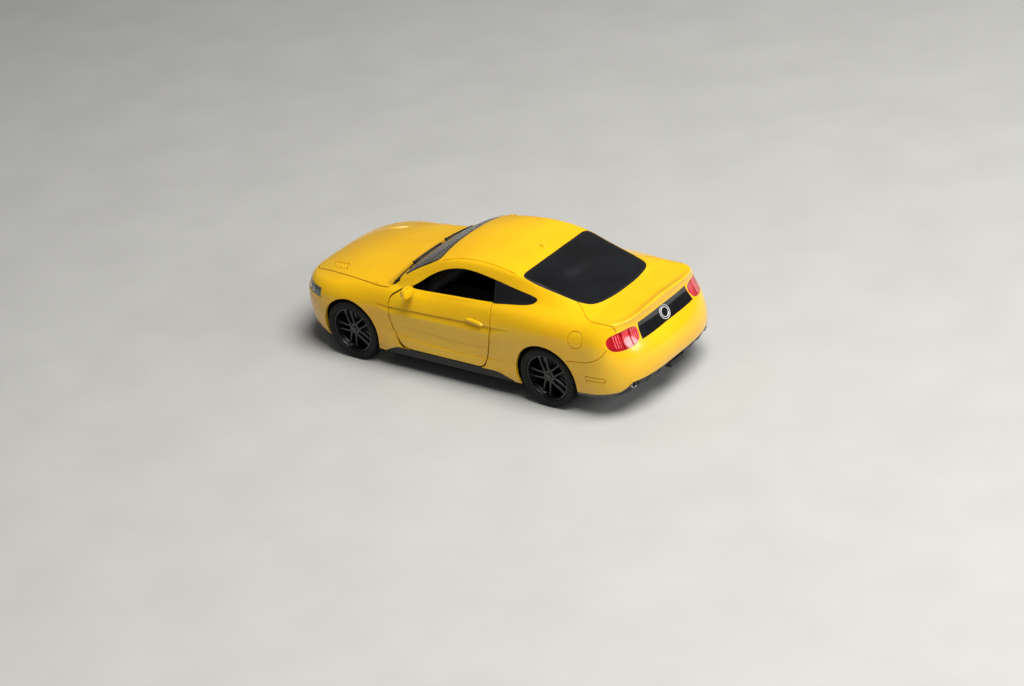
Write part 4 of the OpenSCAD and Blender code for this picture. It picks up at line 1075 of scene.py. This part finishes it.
def superEgg(middle, half, power, around=40, up=20):
    rings = []
    for i in range(1, up):
        a = math.pi * i / up
        ring = []
        for k in range(around):
            b = 2 * math.pi * k / around
            v = np.array([math.sin(a) * math.cos(b), math.sin(a) * math.sin(b), math.cos(a)])
            stretch = np.sum(np.abs(v) ** power) ** (-1 / power)
            ring.append(np.array(middle) + v * stretch * half)
        rings.append(ring)
    return loft(rings)


egg = superEgg(mirror["middle"], mirror["half"], mirror["power"])
housing = minus(egg, roundedBox([10, 30, 35], [19.25, 50, 50], 0.01, 1),
                roundedBox([17, 39.4 - 3.05, 43.4 - 1.95], [19.65, 39.4 + 3.05, 43.4 + 1.95], 0.3))
stalk = []
for t in np.linspace(0, 1, 14):
    centre = np.array([21, 37, 42.3]) * (1 - t) + np.array([22.2, 33.4, 40.9]) * t
    wide = 1.25 - 0.3 * math.sin(math.pi * t)
    stalk.append([centre + [wide * math.cos(a), 0, 0.75 * wide * math.sin(a)]
                  for a in np.linspace(0, 2 * math.pi, 20, endpoint=False)])
addPair("mirrorHousing_{side}", joined([housing, loft(stalk)]), ["enamel"], "{side}_door", "mirror_{side}")
mirrorGlass = roundedBox([19.15, 39.4 - 2.85, 43.4 - 1.75], [19.5, 39.4 + 2.85, 43.4 + 1.75], 0.15)
addPair("mirrorGlass_{side}", mirrorGlass, ["enamel"], "{side}_door", "mirror_glass_{side}")
print("mirrors")

# tail: lamps, panel, badge, diffuser, exhausts

tail = {
    "bars": [22.6, 27, 31.2],  # middles of the three lamp bars, from the centreline out
    "ribs": 3,
    "ribGap": 0.95,
    "fins": [6, 13, 20],
    "panelDepth": 0.2,
}
lens = layer(faceCut("tailLamp", -104, -85.54, -insertGap), lampDepth, 1.4)
for a, b in zip(tail["bars"], tail["bars"][1:]):
    y = (a + b) / 2
    lens = minus(lens, engraved([[y - 0.5, 40.4], [y, 36.8], [y + 0.4, 33]], "tail", 0.7, 0.6, 16))
stripes = []
for y in tail["bars"]:
    for k in range(tail["ribs"]):
        offset = (k - 1) * tail["ribGap"]
        base = y + offset
        stripes.append(prism([[base - 0.55, 39.6], [base - 0.25, 39.6], [base + 0.15, 36.8], [base + 0.3, 34],
                              [base, 34], [base - 0.15, 36.8]], "face", -104, -85))
edgeStrip = prism([[19.2, 40.6], [19.9, 40.6], [21.3, 33.6], [20.6, 33.6]], "face", -104, -85)
ribs = common(lens, stripes[0])
for stripe in stripes[1:]:
    ribs = joined([ribs, common(lens, stripe)])
ribs = joined([ribs, common(lens, edgeStrip)])
for stripe in stripes + [edgeStrip]:
    lens = minus(lens, stripe)
lens = joined([lens, ribs], [0, 1])
addPair("tailLamp_{side}", lens, ["redLens", "paleLens"], "chassis", "tail_lamp_{side}", lampDepth)

panelMesh = layer(faceCut("tailPanel", -104, -86.1, -insertGap), tail["panelDepth"], 1.5)
addPiece("tailPanel", panelMesh, ["glossBlack"], "chassis", "tail_panel", tail["panelDepth"])

badgeRing = lathe([[3.32, 0], [3.38, 0.25], [3.25, 0.5], [3.05, 0.5], [2.92, 0.3], [2.9, 0]], 64, "x")
innerRing = lathe([[2.4, 0], [2.4, 0.32], [2.3, 0.38], [2.15, 0.38], [2.05, 0.3], [2.05, 0]], 56, "x")
disc = lathe([[0, 0], [2.95, 0], [2.95, 0.2], [0, 0.3]], 48, "x", closed=False)
badgeSpots, badgeNormals = onSurface([[0, 37.1]], "tail")
badgeTurn = facing(badgeNormals[0])
badgePlace = badgeSpots[0] - badgeNormals[0] * 0.25
badge = joined([moved(m, badgePlace, badgeTurn) for m in (badgeRing, innerRing, disc)], [0, 0, 1])
addPiece("ringBadge", badge, ["silverPrint", "glossBlack"], "chassis", "tail_badge")

diffuser = layer(faceCut("diffuser", -104, -80.1, -insertGap), 0.3, 1.6)
exhaust = {"place": [-93.6, 28, 15.2], "radius": 1.7}
hole = rod(exhaust["radius"] + 0.15, -104, -84, 48, "x", (0, exhaust["place"][1], exhaust["place"][2]))
diffuser = minus(diffuser, hole, mirrored(hole))
fins = []
for y in tail["fins"]:
    for side in (1, -1):
        route = [[y * side, 16.4], [y * side, 14], [y * side, 12.6]]
        spots, normals = onSurface(smoothPath(route, 8), "tail", -0.45)
        fins.append(sweep(spots, normals, [[-0.3, -0.2], [-0.18, 0.4], [0.18, 0.4], [0.3, -0.2]]))
lampBlock = roundedBox([-97.4, -5.5, 12.4], [-93, 5.5, 15.4], 0.6)
diffuser = joined([diffuser, lampBlock] + fins)
addPiece("rearDiffuser", diffuser, ["satinBlack"], "chassis", "rear_diffuser")
tip = lathe([[1.35, 0.4], [1.38, 0.1], [1.52, 0], [1.66, 0.12], [1.7, 0.5], [1.7, 8], [1.35, 8], [1.35, 7]],
            48, "x",
            exhaust["place"])
addPair("exhaustTip_{side}", tip, ["pinSteel"], "chassis", "exhaust_tip_{side}")
print("tail")

# nose: lamps, grilles, splitter

nose = {"bars": 5, "posts": 15, "projectors": [[91.8, 31.2], [87.2, 34.2]]}
lampOutline = grown(outlines["headlamp"], -insertGap)
lampZone = prism(lampOutline, "plan", lampCutLow + insertGap, lampCutHigh - insertGap)
lampLens = minus(common(bodyBlock(fineGrid, lampDepth, 0), lampZone), bodyBlock(fineGrid, 0.55, cutterDrop))
addPair("headlampCover_{side}", lampLens, ["clearLens"], "chassis", "headlamp_{side}", lampDepth)
lampBack = layer(lampZone, 0.95, 1.5)
addPair("headlampHousing_{side}", lampBack, ["glossBlack"], "chassis")
projectors = []
for x, y in nose["projectors"]:
    spot, flat, index, gap = cleanTree.ray_cast(Vector((140, y, 30.4)), Vector((-1, 0, 0)))
    normal = np.array(surfaceNormal(spot)[0])
    centre = np.array(spot) - normal * 0.95
    ring = lathe([[1.05, 0], [1.5, 0], [1.5, 0.25], [1.3, 0.38], [1.1, 0.25]], 40, "x")
    bulb = lathe([[0, 0], [1.05, 0], [0.9, 0.2], [0.5, 0.32], [0, 0.36]], 32, "x", closed=False)
    projectors += [moved(ring, centre, facing(normal)), moved(bulb, centre, facing(normal))]
addPair("headlampProjectors_{side}", joined(projectors), ["brightTrim"], "chassis")


def meshGrille(key, bars, posts, node):
    outline = grown(outlines[key], -insertGap)
    zone = prism(outline, "face", 84, 104)
    back = layer(zone, 1.5, 2.2)
    low = outline.min(axis=0)
    high = outline.max(axis=0)
    net = []
    for k in range(bars):
        z = low[1] + (high[1] - low[1]) * (k + 0.5) / bars
        route = [[low[0] + 0.6, z], [0, z], [high[0] - 0.6, z]]
        spots, normals = onSurface(smoothPath(route, 40), "nose", -1.05)
        net.append(sweep(spots, normals, [[-0.22, -0.5], [-0.16, 0.12], [0.16, 0.12], [0.22, -0.5]]))
    for k in range(posts):
        y = low[0] + (high[0] - low[0]) * (k + 0.5) / posts
        route = [[y, low[1] + 0.3], [y, (low[1] + high[1]) / 2], [y, high[1] - 0.3]]
        spots, normals = onSurface(smoothPath(route, 10), "nose", -1.1)
        net.append(sweep(spots, normals, [[-0.2, -0.5], [-0.14, 0.1], [0.14, 0.1], [0.2, -0.5]]))
    net = [common(part, zone) for part in net]
    rim = minus(layer(zone, 0.6, 2), prism(grown(outline, -0.7), "face", 80, 110))
    addPiece(node + "Mesh", joined([back, rim] + net), ["satinBlack"], "chassis", node)


meshGrille("grille", nose["bars"], nose["posts"], "front_grille")
meshGrille("intake", 3, 17, "lower_grille")
splitter = minus(common(bodyBlock(fineGrid, 0, 0), faceCut("splitter", 74.1, 104, -insertGap)), inner)
addPiece("frontSplitter", splitter, ["satinBlack"], "chassis", "front_splitter", 0)
print("nose")

# wheels

wheel = {
    "tyreRadius": 14.75,
    "tyreHalf": 5,
    "middle": 33.8,
    "pairs": 5,
    "pairSpread": 4,  # degrees that each spoke of a pair leans out
    "pairOffset": 1.15,
    "treadBlocks": 64,
}


def tyreMesh():
    # grooved tread, square shoulders with sipes, and a raised ring on the wall
    tread = wheel["tyreRadius"]
    h = wheel["tyreHalf"]
    half = [[11.2, 4], [11.8, 4.75], [12.4, 5], [12.9, 5], [13, 4.9], [13.3, 4.9], [13.4, 5], [13.9, 4.85],
            [14.35, 4.45], [tread - 0.08, 3.95], [tread, 3.5], [tread, 2.1], [tread - 0.45, 2],
            [tread - 0.45, 1.65], [tread, 1.55], [tread, 0.28], [tread - 0.45, 0.2]]
    half = [[r, p * h / 5] for r, p in half]
    profile = half + [[r, -p] for r, p in half[::-1]]
    n = len(profile)
    segments = wheel["treadBlocks"] * 4
    rings = []
    for i in range(segments):
        a = 2 * math.pi * i / segments
        cut = i % 4 == 3
        ring = []
        for k, (r, p) in enumerate(profile):
            edge = abs(p) > 2.05 * h / 5 and r > 14.2
            radius = r - (0.4 if cut and edge else 0)
            shift = 0.35 * (abs(p) - 2) / 3 * 2 * math.pi / wheel["treadBlocks"] if r > 14 else 0
            ring.append([radius * math.cos(a + shift), p, radius * math.sin(a + shift)])
        rings.append(ring)
    faces = []
    for i in range(segments):
        j = (i + 1) % segments
        for k in range(n):
            m = (k + 1) % n
            faces.append([i * n + k, i * n + m, j * n + m, j * n + k])
    mesh = makeMesh(np.array(rings).reshape(-1, 3), faces)
    build = bmesh.new()
    build.from_mesh(mesh)
    bmesh.ops.recalc_face_normals(build, faces=build.faces)
    build.to_mesh(mesh)
    build.free()
    return mesh


def spokeMesh(angle):
    # a tapering spoke with a raised spine, from the hub out to the rim
    sections = []
    for t in np.linspace(0, 1, 14):
        r = 2.2 + t * (10.45 - 2.2)
        wide = 0.72 - 0.16 * math.sin(math.pi * t) + 0.25 * t ** 4
        face = 2.9 - 0.9 * t ** 2 + 0.55 * t ** 6
        deep = face - 1.7 + 0.5 * t
        ring = [[-wide, deep], [-wide, face - 0.45], [-wide * 0.55, face - 0.05], [0, face],
                [wide * 0.55, face - 0.05],
                [wide, face - 0.45], [wide, deep]]
        sections.append([[r, p, u] for u, p in ring])
    mesh = loft(sections)
    return moved(mesh, (0, 0, 0), turnAbout("y", angle))


def rimMesh():
    barrel = lathe([[10.3, -4], [11.2, -4], [11.2, 3.75], [11.05, 4.1], [10.75, 4.2], [10.45, 4.05],
                    [10.3, 3.7],
                    [10.15, 2.6], [9.8, 1.8], [10.1, 0.5]], 128)
    plate = lathe([[1.0, -2.5], [2.6, -2.5], [2.9, 0.6], [2.9, 2.3], [2.6, 2.75], [1.6, 2.75], [1.5, 2.55],
                   [1, 2.5]], 64)
    capMesh = lathe([[0, 2.62], [1.35, 2.62], [1.3, 3], [0.9, 3.15], [0, 3.2]], 40, closed=False)
    backing = lathe([[2.5, -1.6], [10.4, -2.4], [10.4, -1.6], [2.5, -0.8]], 96)
    parts = [barrel, plate, capMesh, backing]
    for i in range(wheel["pairs"]):
        middle = 360 * i / wheel["pairs"]
        for way in (-1, 1):
            spoke = spokeMesh(0)
            # each spoke of a pair leans away from its neighbour towards the rim
            spoke = moved(spoke, (0, 0, -way * wheel["pairOffset"]))
            parts.append(moved(spoke, (0, 0, 0), turnAbout("y", middle + way * wheel["pairSpread"])))
        a = math.radians(middle + 180 / wheel["pairs"])
        nut = lathe([[0, 2.6], [0.3, 2.6], [0.3, 2.85], [0.2, 2.95], [0, 2.95]], 6, closed=False)
        parts.append(moved(nut, (2.15 * math.cos(a), 0, 2.15 * math.sin(a))))
    return joined(parts)


tyre = tyreMesh()
rim = rimMesh()
for end, x in zip(("front", "rear"), axleX):
    wheelBody = end + "_wheels"
    place = (x, wheel["middle"], axleZ)
    tyreName = "tyre_" + end + "_{side}"
    addPair(tyreName, moved(tyre, place), ["rubber"], wheelBody, tyreName, None, 28)
    rimName = "rim_" + end + "_{side}"
    addPair(rimName, moved(rim, place), ["rimBlack"], wheelBody, rimName, None, 32)
print("wheels")

# cabin

seat = {"x": -4, "y": 13.6, "floor": 11.5, "bolster": 0.55}


def seatPad(route, halfWidth, thick, taper):
    # a moulded pad that follows a side route; its edges rise into bolsters
    path = smoothPath(route, 26)
    tangent = np.gradient(path, axis=0)
    tangent /= np.linalg.norm(tangent, axis=1, keepdims=True)
    sections = []
    for i in range(len(path)):
        t = i / (len(path) - 1)
        up = np.array([-tangent[i][1], tangent[i][0]])
        wide = halfWidth * curve(taper, t)
        end = (1 - abs(2 * t - 1) ** 6) ** 0.5
        ring = []
        for a in np.linspace(0, 2 * math.pi, 32, endpoint=False):
            u = np.sign(math.cos(a)) * abs(math.cos(a)) ** 0.6
            v = np.sign(math.sin(a)) * abs(math.sin(a)) ** 0.7
            rise = thick * (0.5 * v * (1 + (seat["bolster"] * abs(u) ** 3 if v > 0 else 0))) * max(end, 0.15)
            seam = -0.22 if v > 0 and 0.5 < abs(u) < 0.62 else 0
            x, z = path[i] + up * (rise + seam)
            ring.append([x, wide * u, z])
        sections.append(ring)
    return loft(sections)


x0 = seat["x"]
z0 = seat["floor"]
cushion = seatPad([[x0 - 9, z0 + 3.2], [x0, z0 + 3.4], [x0 + 8.4, z0 + 3.6]], 7.4, 4.4,
                  [[0, 0.9], [0.5, 1], [1, 0.92]])
backrest = seatPad([[x0 - 9.6, z0 + 4.6], [x0 - 11.6, z0 + 14], [x0 - 14, z0 + 24]], 7.4, -3.4,
                   [[0, 0.95], [0.4, 1], [0.8, 0.86], [1, 0.62]])
rest = superEgg([x0 - 13.9, 0, z0 + 26.2], [1.3, 3.5, 2.5], 2.8, 28, 14)
plinth = roundedBox([x0 - 9.4, -6.8, z0 + 0.02], [x0 + 7.6, 6.8, z0 + 2.2], 0.5)
seatMesh = moved(joined([cushion, backrest, rest, plinth]), (0, seat["y"], 0))
addPair("seat_{side}", seatMesh, ["seatBlack"], "chassis", "front_seat_{side}", None, 40)

bench = []
for y in (-13, 13):
    lower = seatPad([[-27.6, z0 + 3.6], [-19.4, z0 + 3.8]], 12, 3, [[0, 0.98], [1, 0.98]])
    upper = seatPad([[-28.2, z0 + 6.2], [-33.4, z0 + 12.4], [-37.2, z0 + 17.6]], 12, -1.8, [[0, 1], [1, 0.9]])
    bench += [moved(lower, (0, y, 0)), moved(upper, (0, y, 0))]
benchBase = prism([[-18.6, 11.6], [-18.6, 15.6], [-27.6, 16], [-37.8, 30.2], [-39.4, 29.8], [-26.6, 11.6]],
                  "side", -26.4, 26.4)
addPiece("rearBench", joined(bench + [benchBase]), ["seatBlack"], "chassis", "rear_bench", None, 40)

dash = soften([[25.7, 25], [25.7, 36.4], [22, 37.1], [18.7, 35.6], [18.1, 33], [20, 30], [21.5, 25]], 2)
dashSections = []
for y in np.linspace(-25.9, 25.9, 40):
    squeeze = 1 - 0.06 * (abs(y) / 26) ** 8
    hump = 0.7 * math.exp(-((y - 14) / 6) ** 2)
    middle = dash.mean(axis=0)
    dashSections.append([[middle[0] + (x - middle[0]) * squeeze, y,
                          middle[1] + (z - middle[1]) * squeeze + (0 if z < 35.4 else hump * 0.4)] for x,
                          z in dash])
dashMesh = loft(dashSections)
clock = []
for y in (11.6, 16.4):
    clock.append(moved(lathe([[0, -0.5], [1.7, -0.5], [1.7, 0.25], [1.45, 0.3], [1.4, 0.05], [0, 0.05]], 32,
                             "x",
                             closed=False), (18.35, y, 34), turnAbout("y", 198)))
addPiece("dashboard", joined([dashMesh] + clock), ["satinBlack"], "chassis", "dashboard", None, 35)

steering = {"place": [12.6, 14, 31], "radius": 5}
hoop = lathe([[4.5 + 0.5 * math.cos(a), 0.5 * math.sin(a)] for a in np.linspace(0, 2 * math.pi, 16,
                                                                                endpoint=False)],
             72, "z")
boss = superEgg([0, 0, 0.1], [1.5, 1.7, 0.7], 2.4, 28, 14)
column = lathe([[0, -5.5], [0.75, -5.5], [0.7, -0.2], [0, -0.2]], 24, "z", closed=False)
spokesMesh = []
for a in (90, 205, 335):
    bar = roundedBox([0.8, -0.5, -0.25], [4.4, 0.5, 0.25], 0.2)
    spokesMesh.append(moved(bar, (0, 0, 0), turnAbout("z", a)))
wheelTurn = turnAbout("y", -68)
steeringMesh = moved(joined([hoop, boss, column] + spokesMesh), steering["place"], wheelTurn)
addPiece("steeringWheel", steeringMesh, ["satinBlack"], "chassis", "steering_wheel", None, 40)

consoleBase = roundedBox([-13.9, -3.3, 11.6], [15.6, 3.3, 20.2], 0.7)
consoleFront = roundedBox([13, -3.3, 11.6], [19.5, 3.3, 25.8], 0.7)
arm = roundedBox([-13.8, -2.9, 19.4], [-3, 2.9, 20.6], 0.5)
knob = lathe([[0, 18.9], [0.45, 18.9], [0.4, 22.8], [0.95, 23.3], [1.1, 24.1], [0.8, 24.9], [0, 25.1]], 32,
             "z", (4, 0, 0),
             False)
boot = lathe([[0, 19.9], [1.7, 19.9], [1.4, 20.5], [0.6, 21.3], [0, 21.4]], 24, "z", (4, 0, 0), False)
addPiece("console", joined([consoleBase, consoleFront, arm, knob, boot]), ["satinBlack"], "chassis",
         "center_console", None, 35)
print("cabin")

# under the bonnet

bayFloor = axleZ + 2.6
z1 = bayFloor + 1
blockParts = [roundedBox([58.1, -6.9, z1 + 0.02], [77.9, 6.9, z1 + 7.9], 0.6)]
covers = []
for side in (1, -1):
    cover = roundedBox([58.3, 0.1, 0.1], [77.6, 6.9, 6.9], 0.9)
    cover = moved(cover, (0, 3, z1 + 6), turnAbout("x", -35))
    covers.append(cover if side > 0 else mirrored(cover))
plenum = roundedBox([60.1, -3.3, z1 + 7.1], [75.9, 3.3, z1 + 14.9], 1)
runners = []
for k in range(4):
    x = 61.6 + k * 4.1
    runners.append(roundedBox([x, -3.38, z1 + 12.6], [x + 1.8, 3.38, z1 + 14.98], 0.6))
pulley = lathe([[0, 0], [2.9, 0], [2.9, 0.5], [2.5, 0.7], [2.5, 1.1], [2.9, 1.2], [2.9, 1.5], [0, 1.5]], 40,
               "x",
               (77.5, 0, z1 + 4), False)
engine = joined(blockParts + covers + [plenum] + runners + [pulley], [0, 1, 1, 0, 0, 0, 0, 0, 0])
addPiece("engineBlock", engine, ["engineGrey", "engineRed"], "chassis", "engine_block", None, 35)
fins = [roundedBox([85.05, -17.9, z1 + 0.05], [86.9, 17.9, z1 + 0.9], 0.2),
        roundedBox([85.05, -17.9, z1 + 11], [86.9, 17.9, z1 + 11.9], 0.2),
        roundedBox([85.05, -17.9, z1 + 0.5], [87.3, -16.6, z1 + 11.5], 0.2),
        roundedBox([85.05, 16.6, z1 + 0.5], [87.3, 17.9, z1 + 11.5], 0.2),
        roundedBox([85.9, -17, z1 + 0.6], [86.6, 17, z1 + 11.4], 0.05, 1)]
for k in range(26):
    z = z1 + 1.2 + k * 0.38
    fins.append(roundedBox([85.4, -16.8, z], [86.9, 16.8, z + 0.14], 0.03, 1))
addPiece("radiator", joined(fins), ["engineGrey"], "chassis", "radiator", None, 35)
print("engine bay")

# frame parts whose shape is already right

finishes = {
    "satinBlack": ["base_plate", "interior_tub", "engine_bay", "wheel_liner_front_left",
                   "wheel_liner_front_right",
                   "wheel_liner_rear_left", "wheel_liner_rear_right"],
    "pinSteel": ["hood_hinge_pin_left", "hood_hinge_pin_right", "door_hinge_pin_left", "door_hinge_pin_right",
                 "base_screws", "front_axle", "rear_axle"],
}
for key, names in finishes.items():
    for name in names:
        paintNode(name, key)

# floor, light and camera

floorMesh = makeMesh(np.array([[-1500, -1500, 0], [1500, -1500, 0], [1500, 1500, 0], [-1500, 1500, 0]]) * mm,
                     [[0, 1, 2, 3]])
floorMesh.materials.append(materials["table"])
floor = bpy.data.objects.new("floor", floorMesh)
bpy.context.scene.collection.objects.link(floor)

lights = [
    # name, place, aim, size, watts, colour
    ["overhead", [-0.5, 0.05, 1.1], [0, 0, 0], 0.8, 20, "FFFDF8"],
    ["rear", [-1.2, -0.2, 0.5], [0, 0, 0.02], 0.6, 6, "FFFFFF"],
    ["farSide", [0.05, -0.85, 0.95], [0, 0, 0.02], 0.3, 0.35, "F4F7FF"],
]
for name, place, aim, size, watts, tint in lights:
    lamp = bpy.data.lights.new(name, "AREA")
    lamp.shape = "DISK"
    lamp.size = size
    lamp.energy = watts
    lamp.color = hexColor(tint)[:3]
    holder = bpy.data.objects.new(name, lamp)
    holder.location = place
    holder.rotation_mode = "QUATERNION"
    holder.rotation_quaternion = (Vector(aim) - Vector(place)).to_track_quat("-Z", "Y")
    bpy.context.scene.collection.objects.link(holder)
world = bpy.data.worlds.new("studio")
world.use_nodes = True
background = world.node_tree.nodes["Background"]
background.inputs["Color"].default_value = hexColor("D6D8DC")
background.inputs["Strength"].default_value = 0.16
bpy.context.scene.world = world
bpy.context.scene.view_settings.view_transform = "Standard"

view = {"azimuth": 130.92, "elevation": 27.71, "roll": -8.65, "target": [-0.615, -3.071, 0],
        "distance": 1166.05,
        "focal": 2500, "imageWidth": 1024}
az = math.radians(view["azimuth"])
el = math.radians(view["elevation"])
roll = math.radians(view["roll"])
away = Vector((math.cos(el) * math.cos(az), math.cos(el) * math.sin(az), math.sin(el)))
right = (-away).cross(Vector((0, 0, 1))).normalized()
upward = right.cross(-away)
cameraX = math.cos(roll) * right + math.sin(roll) * upward
cameraY = -math.sin(roll) * right + math.cos(roll) * upward
cameraData = bpy.data.cameras.new("camera")
cameraData.sensor_width = 36
cameraData.lens = 36 * view["focal"] / view["imageWidth"]
camera = bpy.data.objects.new("camera", cameraData)
place = (Vector(view["target"]) + away * view["distance"]) * mm
camera.matrix_world = Matrix([[cameraX[i], cameraY[i], away[i], place[i]] for i in range(3)] + [[0, 0, 0, 1]])
bpy.context.scene.collection.objects.link(camera)
bpy.context.scene.camera = camera
print("scene ready")
